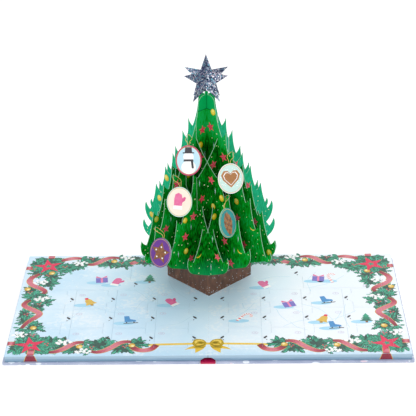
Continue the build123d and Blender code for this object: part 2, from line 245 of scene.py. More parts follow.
def glitter_foil():
    """Holographic glitter foil on card: tiny mirror flakes, each with its own colour and tilt.

    The flakes are drawn about twice their real size, because finer ones would not show.
    """
    made, tree, shader = surface("holographic_glitter_foil", 0.3, metallic=0.5)
    place = add(tree, "ShaderNodeTexCoord").outputs["Object"]
    flake = add(tree, "ShaderNodeTexVoronoi", {"Vector": place, "Scale": per_mm(1.25), "Randomness": 1.0})
    pick = add(tree, "ShaderNodeSeparateXYZ", {"Vector": flake.outputs["Color"]})
    stops = [
        (0.0, "#1A2040"), (0.25, "#3A4468"), (0.45, "#707C9C"), (0.62, "#A0AEC6"), (0.76, "#5FB7CB"),
        (0.86, "#E3C6DA"), (0.94, "#F6F7FB"),
    ]
    tone = add(tree, "ShaderNodeValToRGB", {"Fac": pick.outputs["X"]}, stops).outputs["Color"]
    # Painted shade: where the "turned" share is set, the flakes are mixed toward dark blue
    turned = add(tree, "ShaderNodeAttribute", attribute_name="turned").outputs["Fac"]
    painted_dark_tone = add(tree, "ShaderNodeMix", {0: turned, 6: tone, 7: colour("#1A2040")}, data_type="RGBA")
    tree.links.new(painted_dark_tone.outputs[2], shader.inputs["Base Color"])
    geometry = add(tree, "ShaderNodeNewGeometry")
    centred = add(
        tree, "ShaderNodeVectorMath", {0: flake.outputs["Color"], 1: (0.5, 0.5, 0.5)}, operation="SUBTRACT"
    )
    tilt = add(tree, "ShaderNodeVectorMath", {0: centred, "Scale": 0.9}, operation="SCALE")
    bent = add(tree, "ShaderNodeVectorMath", {0: geometry.outputs["Normal"], 1: tilt}, operation="ADD")
    unit = add(tree, "ShaderNodeVectorMath", {0: bent}, operation="NORMALIZE")
    tree.links.new(unit.outputs["Vector"], shader.inputs["Normal"])
    return made


def layered_board():
    """Laminated tray board in pale blue paper: soft layers, and one darker line low on its edge that is
    painted shade of the gap where the tray meets the cover.
    """
    made, tree, shader = surface("paper_covered_tray_board", 0.5)
    place = add(tree, "ShaderNodeTexCoord").outputs["Object"]
    split = add(tree, "ShaderNodeSeparateXYZ", {"Vector": place})
    level = add(
        tree, "ShaderNodeMapRange", {"Value": split.outputs["Z"], "From Min": 0.003, "From Max": 0.0112}
    )
    # Painted shade: the dark stop near the foot stands for the shadowed gap above the cover
    stops = [
        (0.0, "#7E9DB6"), (0.12, "#5C7F9C"), (0.2, "#8FAFC6"), (0.42, "#7F9FB8"), (0.5, "#9DBACF"),
        (0.9, "#A6C2D4"), (1.0, "#BCD5E4"),
    ]
    layers = add(tree, "ShaderNodeValToRGB", {"Fac": level}, stops).outputs["Color"]
    streak = add(tree, "ShaderNodeMapping", {"Vector": place, "Scale": (0.1, 0.1, 1.0)})
    noise = add(tree, "ShaderNodeTexNoise", {"Vector": streak, "Scale": per_mm(2.5)})
    worn = add(
        tree, "ShaderNodeMapRange", {"Value": noise, "From Min": 0.55, "From Max": 0.8, "To Max": 0.35}
    )
    mixed = add(tree, "ShaderNodeMix", {0: worn, 6: layers, 7: colour("#B9D2E1")}, data_type="RGBA")
    tree.links.new(mixed.outputs[2], shader.inputs["Base Color"])
    grain(tree, shader, place, 0.8, 0.03)
    return made


def cover_paper():
    """Satin-coated printed paper on greyboard: lavender blue with white and pink snow flecks."""
    made, tree, shader = surface("satin_printed_cover_paper", 0.38)
    place = add(tree, "ShaderNodeTexCoord").outputs["Object"]
    cloud = add(tree, "ShaderNodeTexNoise", {"Vector": place, "Scale": per_mm(30), "Detail": 3.0})
    stops = [(0.35, "#A4AECA"), (0.65, "#BEC6DC")]
    base = add(tree, "ShaderNodeValToRGB", {"Fac": cloud}, stops).outputs["Color"]
    drawn_out = add(tree, "ShaderNodeMapping", {"Vector": place, "Scale": (0.4, 1.0, 1.0)})
    speck = add(
        tree, "ShaderNodeTexVoronoi", {"Vector": drawn_out, "Scale": per_mm(5), "Randomness": 1.0}
    )
    pick = add(tree, "ShaderNodeSeparateXYZ", {"Vector": speck.outputs["Color"]})
    size = add(tree, "ShaderNodeMath", {0: pick.outputs["X"], 1: 0.42}, operation="MULTIPLY")
    inside = add(tree, "ShaderNodeMath", {0: speck, 1: size}, operation="LESS_THAN")
    stops = [(0.7, "#EEF4FC"), (0.95, "#E6D3E2")]
    snow = add(tree, "ShaderNodeValToRGB", {"Fac": pick.outputs["Y"]}, stops).outputs["Color"]
    flecked = add(tree, "ShaderNodeMix", {0: inside, 6: base, 7: snow}, data_type="RGBA")
    tree.links.new(flecked.outputs[2], shader.inputs["Base Color"])
    grain(tree, shader, place, 0.9, 0.02)
    return made


def spine_lining():
    """Crimson lining paper on the spine, with a fine laid grain along the book."""
    made, tree, shader = surface("crimson_lining_paper", 0.45)
    place = add(tree, "ShaderNodeTexCoord").outputs["Object"]
    stretched = add(tree, "ShaderNodeMapping", {"Vector": place, "Scale": (1.0, 0.15, 1.0)})
    laid = add(tree, "ShaderNodeTexNoise", {"Vector": stretched, "Scale": per_mm(1.5), "Detail": 3.0})
    stops = [(0.3, "#A80040"), (0.7, "#CE1255")]
    red = add(tree, "ShaderNodeValToRGB", {"Fac": laid}, stops).outputs["Color"]
    tree.links.new(red, shader.inputs["Base Color"])
    grain(tree, shader, stretched, 1.5, 0.02)
    return made


def gold_thread():
    """Metallic gold thread: fine twisted filaments that glint along the loop."""
    made, tree, shader = surface("twisted_gold_thread", 0.35, metallic=0.55)
    place = add(tree, "ShaderNodeTexCoord").outputs["Object"]
    twist = add(tree, "ShaderNodeTexWave", {"Vector": place, "Scale": per_mm(2.4), "Distortion": 2.0})
    stops = [(0.2, "#B9963A"), (0.8, "#EBD98A")]
    gold = add(tree, "ShaderNodeValToRGB", {"Fac": twist.outputs["Fac"]}, stops).outputs["Color"]
    tree.links.new(gold, shader.inputs["Base Color"])
    return made


ICE = ice_print()
FIR = fir_print()
EDGE = card_edge()
BARK = bark_print()
GLITTER = glitter_foil()
TRAY_BOARD = layered_board()
COVER_PAPER = cover_paper()
SPINE_PAPER = spine_lining()
GOLD_THREAD = gold_thread()

# Printed inks: small painted motifs with a light side and a dark side
LEAF_INK = ink(
    "printed_ink_holly", [(0.05, "#1C3A34"), (0.3, "#1E5A4A"), (0.6, "#1E8E6E"), (0.9, "#44BC98")], 4
)
BERRY_INK = ink("printed_ink_berry", [(0.2, "#B3262F"), (0.6, "#D9475A"), (0.9, "#F7A0A6")], 2)
GOLD_INK = ink(
    "printed_ink_gold", [(0.1, "#9A6E1E"), (0.45, "#D6A83E"), (0.7, "#EBCB5D"), (0.95, "#FBF0BE")], 4
)
BOW_INK = ink(
    "printed_ink_bow", [(0.05, "#7A6616"), (0.35, "#AE9226"), (0.6, "#E4BC3E"), (0.95, "#F6DC78")], 3
)
SNOW_INK = ink("printed_ink_snow", [(0.2, "#D9E8F2"), (0.6, "#FFFFFF")], 4)
RIBBON_INK = ink(
    "printed_ink_ribbon", [(0.1, "#5E1426"), (0.4, "#962C42"), (0.65, "#B8485C"), (0.95, "#DC8492")], 1.6
)
STAR_INK = ink("printed_ink_star", [(0.1, "#C01040"), (0.5, "#DE1C50"), (0.9, "#F84470")], 14)
TRACK_INK = ink("printed_ink_skate_track", [(0.2, "#AFD6EC"), (0.8, "#C8E4F4")], 12)
SHADOW_INK = ink("printed_ink_ice_shadow", [(0.2, "#8FD0F0"), (0.8, "#BFE4F7")], 8)
NUMBER_INK = ink("printed_ink_number", [(0.2, "#C2B6D0"), (0.8, "#D6CCE2")], 4)
# Painted shade for the thumb notches and their slits
NOTCH_SHADE_INK = ink("painted_shade_in_notch", [(0.2, "#2E2628"), (0.8, "#4A3E3E")], 2)
PINK_INK = ink("printed_ink_pink", [(0.2, "#D83C86"), (0.8, "#F58FB8")], 4)
VIOLET_INK = ink("printed_ink_violet", [(0.2, "#5B4FA8"), (0.8, "#8F86D6")], 4)
BLUE_INK = ink("printed_ink_blue", [(0.2, "#1F6FB4"), (0.8, "#55A6DC")], 4)
BROWN_INK = ink("printed_ink_brown", [(0.1, "#5A331C"), (0.5, "#8E5A32"), (0.9, "#C08A50")], 4)
RED_INK = ink("printed_ink_red", [(0.1, "#B01C34"), (0.5, "#DE304A"), (0.9, "#FA7484")], 5)
YELLOW_INK = ink("printed_ink_yellow", [(0.1, "#B49408"), (0.45, "#E8C818"), (0.9, "#FFF080")], 4)
DOT_INK = ink("printed_ink_pale_dot", [(0.2, "#BFD98A"), (0.8, "#EDF3C6")], 3)
ICICLE_INK = ink("printed_ink_icicle", [(0.1, "#1F6E62"), (0.5, "#7FB5AE"), (0.9, "#D6E6E4")], 3)
BLACK_INK = ink("printed_ink_black", [(0.2, "#1C1A20"), (0.8, "#3C3842")], 4)
MINT_INK = ink("printed_ink_mint", [(0.2, "#BCE2DA"), (0.8, "#D8F0EA")], 6)
TEAL_INK = ink("printed_ink_teal", [(0.2, "#0B7F82"), (0.8, "#1FA3A0")], 9)
SKY_INK = ink("printed_ink_sky", [(0.2, "#A6D8EC"), (0.8, "#D4EEF6")], 12)
CREAM_INK = ink("printed_ink_cream", [(0.2, "#F3DFC6"), (0.8, "#FFF6EC")], 12)
MAGENTA_INK = ink("printed_ink_magenta", [(0.2, "#A81E5C"), (0.8, "#CE3E7C")], 9)
PURPLE_INK = ink("printed_ink_purple", [(0.2, "#4E2078"), (0.8, "#7A3CA6")], 9)

# Plain carried-over pieces
plain = {"spine_board": SPINE_PAPER}
for half in SIDES:
    plain[f"{half}_cover"] = COVER_PAPER
    plain[f"{half}_tray"] = TRAY_BOARD
    plain[f"{half}_page"] = ICE
    plain[f"{half}_stored_ornaments"] = MINT_INK
    for number in range(1, DOORS_ON_HALF + 1):
        plain[f"{half}_door_{number:02d}"] = ICE
for name, made in plain.items():
    nodes[name].data.materials.clear()
    nodes[name].data.materials.append(made)


def placed(name, data):
    """A new object in the scene."""
    made = bpy.data.objects.new(name, data)
    bpy.context.scene.collection.objects.link(made)
    return made


def as_mesh(holder):
    """A plain mesh of what an object's curve, text or modifier makes."""
    graph = bpy.context.evaluated_depsgraph_get()
    return bpy.data.meshes.new_from_object(holder.evaluated_get(graph), depsgraph=graph)


def mark(mesh, name, domain, values):
    """Writes a number on each point or face of a mesh."""
    mesh.attributes.new(name, "FLOAT", domain).data.foreach_set("value", values)


def round_pairs(points):
    """Each point with the next one, and the last with the first."""
    return zip(points, points[1:] + points[:1])


def show(name, mesh, body, *materials):
    """A finished piece that rides on a body."""
    made = placed(name, mesh)
    for material in materials:
        mesh.materials.append(material)
    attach(made, body)
    return made


def folds(made):
    """Gives a tree piece its own copy of its mesh."""
    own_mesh(made)


def merged_copy(node):
    """A copy of a CAD solid's mesh, with its loose triangles joined."""
    made = bmesh.new()
    made.from_mesh(nodes[node].data)
    bmesh.ops.remove_doubles(made, verts=made.verts, dist=1e-6)
    for face in made.faces:
        face.smooth = False
    return made


def to_mesh(name, made):
    """Turns a bmesh into a mesh and frees it."""
    mesh = bpy.data.meshes.new(name)
    made.to_mesh(mesh)
    made.free()
    return mesh


# Tree cards
ACROSS = {"a": Vector((1, -1, 0)).normalized(), "b": Vector((-1, -1, 0)).normalized()}


def tree_card(family, number):
    """One slice of the tree: painted faces and pale cut edges."""
    node = f"tree_slice_{family}{number}"
    made = merged_copy(node)
    along = ACROSS[family]
    normal = along.cross(Vector((0, 0, 1)))
    card = made.loops.layers.uv.new("card")
    for face in made.faces:
        flat = abs(face.normal.dot(normal)) > 0.9
        face.material_index = 0 if flat else 1
        way = 1 if face.normal.y < 0 else -1
        for loop in face.loops:
            place = loop.vert.co - Vector((0, TREE_Y, PAGE_TOP))
            loop[card].uv = (way * place.dot(along), place.z)
    piece = show(f"fir_card_{family}{number}", to_mesh(node, made), "spine", FIR, EDGE)
    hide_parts(node)
    folds(piece)
    return piece


fir_cards = {(family, n): tree_card(family, n) for family in "ab" for n in range(1, 6)}


def trunk_box():
    """The square trunk under the tree."""
    piece = show("bark_box", to_mesh("bark_box", merged_copy("trunk_box")), "spine", BARK)
    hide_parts("trunk_box")
    folds(piece)


# Painted shade: the first card of the star, its left half seen from the front, is darkened
FOIL_PAINTED_SHADE = (0.4, 0.0)


def star_card(number):
    """One of the two glitter cards of the star."""
    node = f"star_card_{number}"
    mesh = to_mesh(node, merged_copy(node))
    # The "turned" share carries the painted shade of this card
    mark(mesh, "turned", "POINT", [FOIL_PAINTED_SHADE[number - 1]] * len(mesh.vertices))
    piece = show(f"glitter_star_{number}", mesh, "spine", GLITTER)
    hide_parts(node)
    folds(piece)


trunk_box()
star_card(1)
star_card(2)

# Printed motifs, drawn flat in millimetres


def disc(x, y, across, up=None, corners=16, turn=0.0):
    """Points of an oval."""
    up = across if up is None else up
    angles = [turn + 2 * math.pi * n / corners for n in range(corners)]
    return [(x + across * math.cos(a), y + up * math.sin(a)) for a in angles]


def star_points(radius, inner, turn=90.0, rays=5):
    """Points of a star, turned by degrees."""
    points = []
    for n in range(2 * rays):
        reach = radius if n % 2 == 0 else inner
        angle = math.radians(turn + 180 * n / rays)
        points.append((reach * math.cos(angle), reach * math.sin(angle)))
    return points


def faceted(points, light, dark, lift=0.0):
    """A star cut into facets, one light and one dark in each ray."""
    facets = []
    for n, point in enumerate(points):
        facets.append(([(0, 0), point, points[(n + 1) % len(points)]], light if n % 2 else dark, lift))
    return facets


MIDDLE_TINT = 0.5


def shape(name, polygons, made=None):
    """A flat mesh: each polygon has its points in millimetres, its shade and its lift."""
    mesh = bpy.data.meshes.new(name)
    points, faces, shades = [], [], []
    for outline, shade, lift in polygons:
        area = sum(a[0] * b[1] - b[0] * a[1] for a, b in round_pairs(outline))
        ordered = outline if area > 0 else outline[::-1]
        faces.append(list(range(len(points), len(points) + len(ordered))))
        points += [(x, y, lift) for x, y in ordered]
        shades.append(shade)
    mesh.from_pydata(points, [], faces)
    mark(mesh, "shade", "FACE", shades)
    if made:
        mark(mesh, "tint", "POINT", [MIDDLE_TINT] * len(points))
        mesh.materials.append(made)
    return mesh


def holly_leaf():
    """A scalloped leaf along x, light above its rib and dark below."""
    upper = [(0, 0), (2.0, 1.7), (3.6, 1.3), (5.4, 3.1), (7.0, 2.0), (8.8, 3.0), (10.2, 1.5), (13.0, 0)]
    lower = [(x, -y) for x, y in upper]
    bright = [(0.9 + 0.84 * x, 0.15 + 0.62 * y) for x, y in upper]
    dull = [(0.9 + 0.84 * x, -0.15 - 0.62 * y) for x, y in upper]
    halves = [(upper, 0.15, 0), (lower, 0.08, 0), (bright, 0.82, 0.001), (dull, 0.5, 0.001)]
    return shape("holly_leaf", halves)


def fir_sprig():
    """A fir twig along x with paired needles."""
    needles = [([(0, -0.3), (12.5, 0), (0, 0.3)], 0.5, 0)]
    for n in range(6):
        x = 1.2 + 1.9 * n
        reach = 4.6 - 0.35 * n
        for way in (1, -1):
            tip = (x + reach * 0.75, way * reach * 0.8)
            needles.append(([(x, 0), (x + 1.5, 0), tip], 0.8 if way > 0 else 0.62, 0.004))
    return shape("fir_sprig", needles)


def snow_flower():
    """A six-petalled snow flower with a small blue heart."""
    petals = [(disc(0, 0, 0.8, corners=6), 0.1, 0.012)]
    for n in range(6):
        a = math.radians(60 * n)
        c, s = math.cos(a), math.sin(a)
        petal = [(x * c - y * s, x * s + y * c) for x, y in ((0, 0), (2.2, 1.2), (4.2, 0), (2.2, -1.2))]
        petals.append((petal, 0.7 if n % 2 else 0.95, 0.002 * n))
    return shape("snow_flower", petals)


def bauble(across, up):
    """A shaded ball with a highlight."""
    return shape(
        "bauble",
        [
            (disc(0, 0, across, up), 0.3, 0),
            (disc(-0.1 * across, 0.12 * up, 0.82 * across, 0.8 * up), 0.55, 0.012),
            (disc(-0.25 * across, 0.3 * up, 0.45 * across, 0.42 * up, 12), 0.85, 0.024),
            (disc(-0.32 * across, 0.38 * up, 0.2 * across, 0.18 * up, 8), 1.1, 0.036),
        ],
    )


def berry():
    """A round berry with a light spot."""
    spot = (disc(-0.4, 0.45, 0.5, corners=6), 1.0, 0.012)
    return shape("berry", [(disc(0, 0, 1.35, corners=10), 0.4, 0), spot])


def icicle():
    """A thin faceted icicle that hangs from a short twig."""
    return shape(
        "icicle",
        [
            ([(0, 0), (1.0, -2.6), (0, -9.5)], 0.85, 0),
            ([(0, 0), (0, -9.5), (-1.0, -2.6)], 0.45, 0),
            ([(-2.0, 1.0), (0, -0.4), (2.0, 1.2), (0, 0.5)], 0.25, 0.012),
        ],
    )


def crescent():
    """A thin yellow moon on its back."""
    angles = [math.radians(195 + 15 * n) for n in range(11)]
    outer = [(5.0 * math.cos(a), 4.6 * math.sin(a) + 1.6) for a in angles]
    inner = [(4.4 * math.cos(a), 2.6 * math.sin(a) + 1.4) for a in reversed(angles)]
    return shape("crescent", [([p, q, r, s], 0.4 + 0.04 * n, 0) for n, (p, q, r, s) in enumerate(
        zip(outer, outer[1:], inner[-2::-1], inner[::-1]))])


HOLLY = holly_leaf()
SPRIG = fir_sprig()
FLOWER = snow_flower()
BALL = bauble(4.5, 4.9)
FIR_BALL = bauble(4.2, 4.6)
BERRY = berry()
ICICLE = icicle()
CRESCENT = crescent()
FIR_STAR = shape("fir_star", faceted(star_points(7.2, 3.2), 0.75, 0.35))
DOT = shape("dot", [(disc(0, 0, 1.0, corners=8), 0.6, 0)])


def scatter_tree():
    """Geometry nodes that stamp a motif at places, each with its own turn, size and tint."""
    tree = bpy.data.node_groups.new("stamp_motifs", "GeometryNodeTree")
    for label, kind in (("Places", "Geometry"), ("Motif", "Object"), ("Size", "Float"), ("Ink", "Material")):
        tree.interface.new_socket(label, in_out="INPUT", socket_type=f"NodeSocket{kind}")
    tree.interface.new_socket("Print", in_out="OUTPUT", socket_type="NodeSocketGeometry")
    start = add(tree, "NodeGroupInput")
    points = add(tree, "GeometryNodeMeshToPoints", {"Mesh": start.outputs["Places"]})
    motif = add(tree, "GeometryNodeObjectInfo", {"Object": start.outputs["Motif"]})
    turn = add(tree, "GeometryNodeInputNamedAttribute", {"Name": "turn"}, data_type="FLOAT_VECTOR")
    facing = add(tree, "FunctionNodeEulerToRotation", {"Euler": turn})
    size = add(tree, "GeometryNodeInputNamedAttribute", {"Name": "size"}, data_type="FLOAT")
    scale = add(tree, "ShaderNodeMath", {0: size, 1: start.outputs["Size"]}, operation="MULTIPLY")
    stamped = add(
        tree,
        "GeometryNodeInstanceOnPoints",
        {
            "Points": points,
            "Instance": motif.outputs["Geometry"],
            "Rotation": facing,
            "Scale": scale,
        },
    )
    real = add(tree, "GeometryNodeRealizeInstances", {"Geometry": stamped})
    inked = add(tree, "GeometryNodeSetMaterial", {"Geometry": real, "Material": start.outputs["Ink"]})
    add(tree, "NodeGroupOutput", {"Print": inked})
    return tree


STAMP = scatter_tree()
STAMP_INPUTS = {item.name: item.identifier for item in STAMP.interface.items_tree if item.in_out == "INPUT"}


def stamped(motif, made, places):
    """A plain mesh of one motif at all its places: (point, turn, size, tint)."""
    mesh = bpy.data.meshes.new("places")
    mesh.from_pydata([place[0] for place in places], [], [])
    turns = [angle for place in places for angle in place[1]]
    mesh.attributes.new("turn", "FLOAT_VECTOR", "POINT").data.foreach_set("vector", turns)
    mark(mesh, "size", "POINT", [place[2] for place in places])
    mark(mesh, "tint", "POINT", [place[3] for place in places])
    holder, pattern = placed("places", mesh), placed("motif", motif)
    modifier = holder.modifiers.new("stamp", "NODES")
    modifier.node_group = STAMP
    modifier[STAMP_INPUTS["Motif"]] = pattern
    modifier[STAMP_INPUTS["Size"]] = MM
    modifier[STAMP_INPUTS["Ink"]] = made
    result = as_mesh(holder)
    for name in ("turn", "size"):
        if name in result.attributes:
            result.attributes.remove(result.attributes[name])
    bpy.data.objects.remove(holder)
    bpy.data.objects.remove(pattern)
    return result


def gathered(name, meshes):
    """One mesh of several, with their inks."""
    parts = [placed(name, mesh) for mesh in meshes]
    with bpy.context.temp_override(
        active_object=parts[0], object=parts[0], selected_objects=parts, selected_editable_objects=parts
    ):
        bpy.ops.object.join()
    mesh = parts[0].data
    bpy.data.objects.remove(parts[0])
    return mesh


INK_FILM = 0.004 * MM


def ink_film(made):
    """Gives flat print the thickness of a film, so that it is closed."""
    bmesh.ops.solidify(made, geom=made.faces, thickness=INK_FILM)


def film_piece(name, meshes, body):
    """Gathers flat print into one thin piece that rides on a body."""
    printed = gathered(name, meshes)
    made = bmesh.new()
    made.from_mesh(printed)
    ink_film(made)
    return show(name, to_mesh(name, made), body, *printed.materials)


# Page print: the doors in millimetres, the small ones in rows and the large one at the corner
DOORS = range(1, DOORS_ON_HALF + 1)
LARGE_DOOR = DOORS_ON_HALF
COLUMNS = 4
FIRST_HINGE, COLUMN_PITCH = 70, 56.1
DOOR_ROWS = (-91.2, -41.2, 8.8)
SMALL_SIZE = (43.4, 46.4)
LARGE_HINGE, LARGE_MIDDLE, LARGE_HEIGHT = 238.3, 77.6, 84.0
LARGE_WIDTH = {"left": 128.0, "right": 108.0}
LARGE_TAB = {"left": -28.0, "right": 0.0}
TAB_REACH, TAB_ROOT, TAB_TIP = 8.2, 11, 5


def column_row(number):
    """The column and row of a small door."""
    return (number - 1) % COLUMNS, (number - 1) // COLUMNS


def door_outline(half, number):
    """A door's outline on its page, in metres: its card and its tab."""
    if number == LARGE_DOOR:
        hinge, middle, width, height = LARGE_HINGE, LARGE_MIDDLE, LARGE_WIDTH[half], LARGE_HEIGHT
        tab = middle + LARGE_TAB[half]
    else:
        column, row = column_row(number)
        hinge, middle, width, height = FIRST_HINGE + COLUMN_PITCH * column, DOOR_ROWS[row], *SMALL_SIZE
        tab = middle
    free, low, high = hinge - width, middle - height / 2, middle + height / 2
    end = free - TAB_REACH
    outline = [(hinge, low), (hinge, high), (free, high), (free, tab + TAB_ROOT), (end, tab + TAB_TIP)]
    outline += [(end, tab - TAB_TIP), (free, tab - TAB_ROOT), (free, low)]
    return [Vector((SIDES[half] * x * MM, y * MM)) for x, y in outline]


def inside(point, outline):
    """Whether a point lies inside an outline."""
    crossings = 0
    for a, b in round_pairs(outline):
        if (a.y > point.y) != (b.y > point.y):
            crossings += point.x < a.x + (point.y - a.y) * (b.x - a.x) / (b.y - a.y)
    return crossings % 2 == 1


# The ink stops this far from a door's hinge, so that the door can fold back
CREASE = 0.32 * MM
# How far beyond a door the print is looked at for cutting, and how close a cut may run to a point
CUT_MARGIN = 0.015
CUT_TOLERANCE = 1e-7


def lay_on_half(half, meshes):
    """Lays the print on a page and cuts it along the doors, so that each door carries its own share."""
    made = bmesh.new()
    printed = gathered(f"{half}_print", meshes)
    made.from_mesh(printed)
    inks = list(printed.materials)
    doors = {n: door_outline(half, n) for n in DOORS}
    for outline in doors.values():
        low_x, high_x = min(p.x for p in outline) - CUT_MARGIN, max(p.x for p in outline) + CUT_MARGIN
        low_y, high_y = min(p.y for p in outline) - CUT_MARGIN, max(p.y for p in outline) + CUT_MARGIN
        near = []
        for face in made.faces:
            centre = face.calc_center_bounds()
            if low_x < centre.x < high_x and low_y < centre.y < high_y:
                near.append(face)
        geom = list({e for f in near for e in f.edges}) + list({v for f in near for v in f.verts}) + near
        for a, b in round_pairs(outline):
            across = (b - a).to_3d().cross(Vector((0, 0, 1)))
            start = a.to_3d()
            cut = bmesh.ops.bisect_plane(made, geom=geom, plane_co=start, plane_no=across, dist=CUT_TOLERANCE)
            geom = cut["geom"]
        crease = (outline[0].x - SIDES[half] * CREASE, 0, 0)
        bmesh.ops.bisect_plane(made, geom=geom, plane_co=crease, plane_no=(1, 0, 0), dist=CUT_TOLERANCE)
    share = made.faces.layers.int.new("share")
    for face in made.faces:
        centre = face.calc_center_median()
        face[share] = 0
        for number, outline in doors.items():
            if centre.z > PAGE_TOP and inside(centre, outline):
                face[share] = -1 if abs(centre.x - outline[0].x) < CREASE else number
    for number in (0, *DOORS):
        part = made.copy()
        layer = part.faces.layers.int["share"]
        others = [face for face in part.faces if face[layer] != number]
        bmesh.ops.delete(part, geom=others, context="FACES")
        if not part.faces:
            part.free()
            continue
        ink_film(part)
        body = f"{half}_door_{number:02d}" if number else f"{half}_half"
        piece = show(f"{body}_print", to_mesh(f"{body}_print", part), body, *inks)
    made.free()


# The print's layers are stacked this close, so that doors and covers can fold onto it
PRINT_RISE = 0.3 * MM


def on_page(side, x, y, angle, size, lift, tint=0.5):
    """A place for a motif on the page, mirrored on the left half."""
    turn = angle if side > 0 else math.pi - angle
    return (Vector((side * x * MM, y * MM, PAGE_TOP + lift * PRINT_RISE)), (0, 0, turn), size, tint)


def page_matrix(side, lift):
    """Turns drawn millimetres into a place on the page."""
    scale = Matrix.Diagonal((side * MM, MM, PRINT_RISE, 1))
    return Matrix.Translation((0, 0, PAGE_TOP + lift * PRINT_RISE)) @ scale


def drawn(name, polygons, made, matrix):
    """Flat polygons put in place."""
    mesh = shape(name, polygons, made)
    mesh.transform(matrix)
    if matrix.determinant() < 0:
        mesh.flip_normals()
    return mesh


def smooth_path(points, steps=6):
    """Points along a smooth line through the given ones."""
    path = []
    for n in range(len(points) - 1):
        p0, p1 = Vector(points[max(n - 1, 0)]), Vector(points[n])
        p2, p3 = Vector(points[n + 1]), Vector(points[min(n + 2, len(points) - 1)])
        for k in range(steps):
            t = k / steps
            square, cube = 2 * p0 - 5 * p1 + 4 * p2 - p3, 3 * p1 - p0 - 3 * p2 + p3
            path.append(0.5 * (2 * p1 + (p2 - p0) * t + square * t**2 + cube * t**3))
    path.append(Vector(points[-1]))
    return path


def strip(points, low, high, shading, lift, taper=0.0):
    """A flat strip along a line, between two offsets from it, narrower by the taper at its ends."""
    path = smooth_path(points)
    rails = []
    for n, point in enumerate(path):
        ahead = (path[min(n + 1, len(path) - 1)] - path[max(n - 1, 0)]).normalized()
        from_middle = abs(2 * n / (len(path) - 1) - 1)
        aside = Vector((-ahead.y, ahead.x)) * (1 - taper * from_middle**2)
        rails.append((point + aside * low, point + aside * high))
    quads = []
    for n in range(len(rails) - 1):
        (a, b), (c, d) = rails[n], rails[n + 1]
        quads.append(([tuple(a), tuple(c), tuple(d), tuple(b)], shading(n / (len(rails) - 1)), lift))
    return quads


# The print keeps inside these, from the gutter to the side and from the middle to each end
PRINT_SIDE, PRINT_END = 258.5, 130.5
LEAF_LENGTH = 13
LEAF_TRIES = 6
# Where the border's leaves bunch on the right page: middle, half width, half height and leaves
BUNCHES = [
    (228, 101, 25, 19, 44), (207, 98, 15, 12, 16), (240, 84, 12, 11, 12), (228, 119, 19, 9, 16),
    (247, 106, 9, 13, 12), (221, 72, 12, 12, 14), (223, 52, 12, 11, 14), (246, 34, 11, 12, 14),
    (238, 15, 16, 11, 18), (225, 2, 12, 8, 10), (233, -9, 12, 10, 12), (247, -31, 9, 15, 14),
    (243, -46, 10, 11, 12), (231, -65, 12, 12, 16), (236, -83, 11, 9, 10), (228, -106, 27, 22, 60),
    (205, -101, 16, 15, 24), (249, -112, 9, 14, 13), (213, -120, 15, 10, 15), (190, -107, 14, 14, 20),
    (172, -118, 15, 11, 16), (140, -107, 18, 16, 28), (110, -116, 16, 13, 20), (91, -105, 11, 12, 15),
    (197, 94, 12, 9, 10), (184, 105, 13, 10, 13), (166, 119, 14, 9, 13), (141, 108, 16, 10, 16),
    (124, 104, 11, 9, 9), (107, 122, 12, 8, 10), (90, 112, 14, 11, 15), (70, 119, 12, 9, 11),
    (52, 112, 12, 10, 11), (32, 118, 10, 8, 8),
]
RIBBONS = [
    [(236, 82), (243, 75), (249.4, 67), (250.5, 58), (244, 47), (232, 38), (226, 30.5), (229.3, 21.4)],
    [(240, 9), (247, 4), (250.5, -3), (247.5, -10), (236, -19), (227.5, -27), (228, -34), (236, -44),
     (243, -56), (247, -68)],
    [(207, -124), (196, -123), (187, -117), (178, -108), (170, -101.5), (158, -100.5)],
    [(153, -121), (143, -124.5), (133, -121), (124, -113), (115, -103.5), (106, -100), (97, -102)],
    [(214, 116), (203.8, 121.5), (193.4, 124.5), (181, 123)],
    [(176, 107), (166.8, 105.5), (158, 111.5), (149.3, 121), (140, 125.5), (127, 123.5)],
    [(116, 106.5), (107.4, 109.7), (101.7, 115.3)],
    [(98, -113), (91, -119), (82.8, -121), (73, -118), (66.5, -108)],
    [(251, 96.3), (255, 96.2), (259.8, 96.5)],
    [(250, -102.7), (255, -102.5), (259.8, -102.6)],
    [(227, 124), (227.2, 128), (227, 131.8)],
    [(227, -117), (227.2, -124), (227, -131.8)],
]
RIBBON_HALF = 4.6
# The first ribbons tuck their ends under leaves, the others run to a page edge or end free
TUCKED_RIBBONS = 7
BAUBLES = [(222, 81.8), (251, 37.5), (231, -64.4), (166, -110.6), (98.3, -108.8), (136.2, 114.7)]
FLOWERS = [
    (183.6, 109), (235.3, 56), (228.3, 10.6), (246.7, -80.8), (187, -100.3), (160.2, -122.2), (117.4, 124.5),
]
BERRIES = [
    (205.3, 100), (226.2, 76), (248.8, 93.4), (246.2, 28.2), (229.8, -3), (244.2, -30), (229.5, -82.8),
    (208.7, -105), (149.4, -113.2), (107, -111.6), (168, 122.5), (126, 110), (94.4, 115.4), (60, 116),
]
CORNER_STARS = [(229.0, 101.3), (230.0, -107.0)]
CORNER_STAR_TURN = {"left": 79, "right": 108}


BOUGH_POINTS = 28


def dark_boughs(chance):
    """Dark, ragged masses of fir behind the border's leaves."""
    masses = []
    for n, (x, y, across, up, _) in enumerate(BUNCHES):
        rim = []
        for k in range(BOUGH_POINTS):
            angle = 2 * math.pi * k / BOUGH_POINTS
            reach = (1.0 if k % 2 else 0.72) * chance.uniform(0.85, 1.1)
            point = (x + across * reach * math.cos(angle), y + up * reach * math.sin(angle))
            rim.append((min(point[0], PRINT_SIDE), max(-PRINT_END, min(point[1], PRINT_END))))
        for a, b in round_pairs(rim):
            masses.append(([(x, y), a, b], chance.uniform(0.05, 0.3), 0.0005 * n))
    return masses


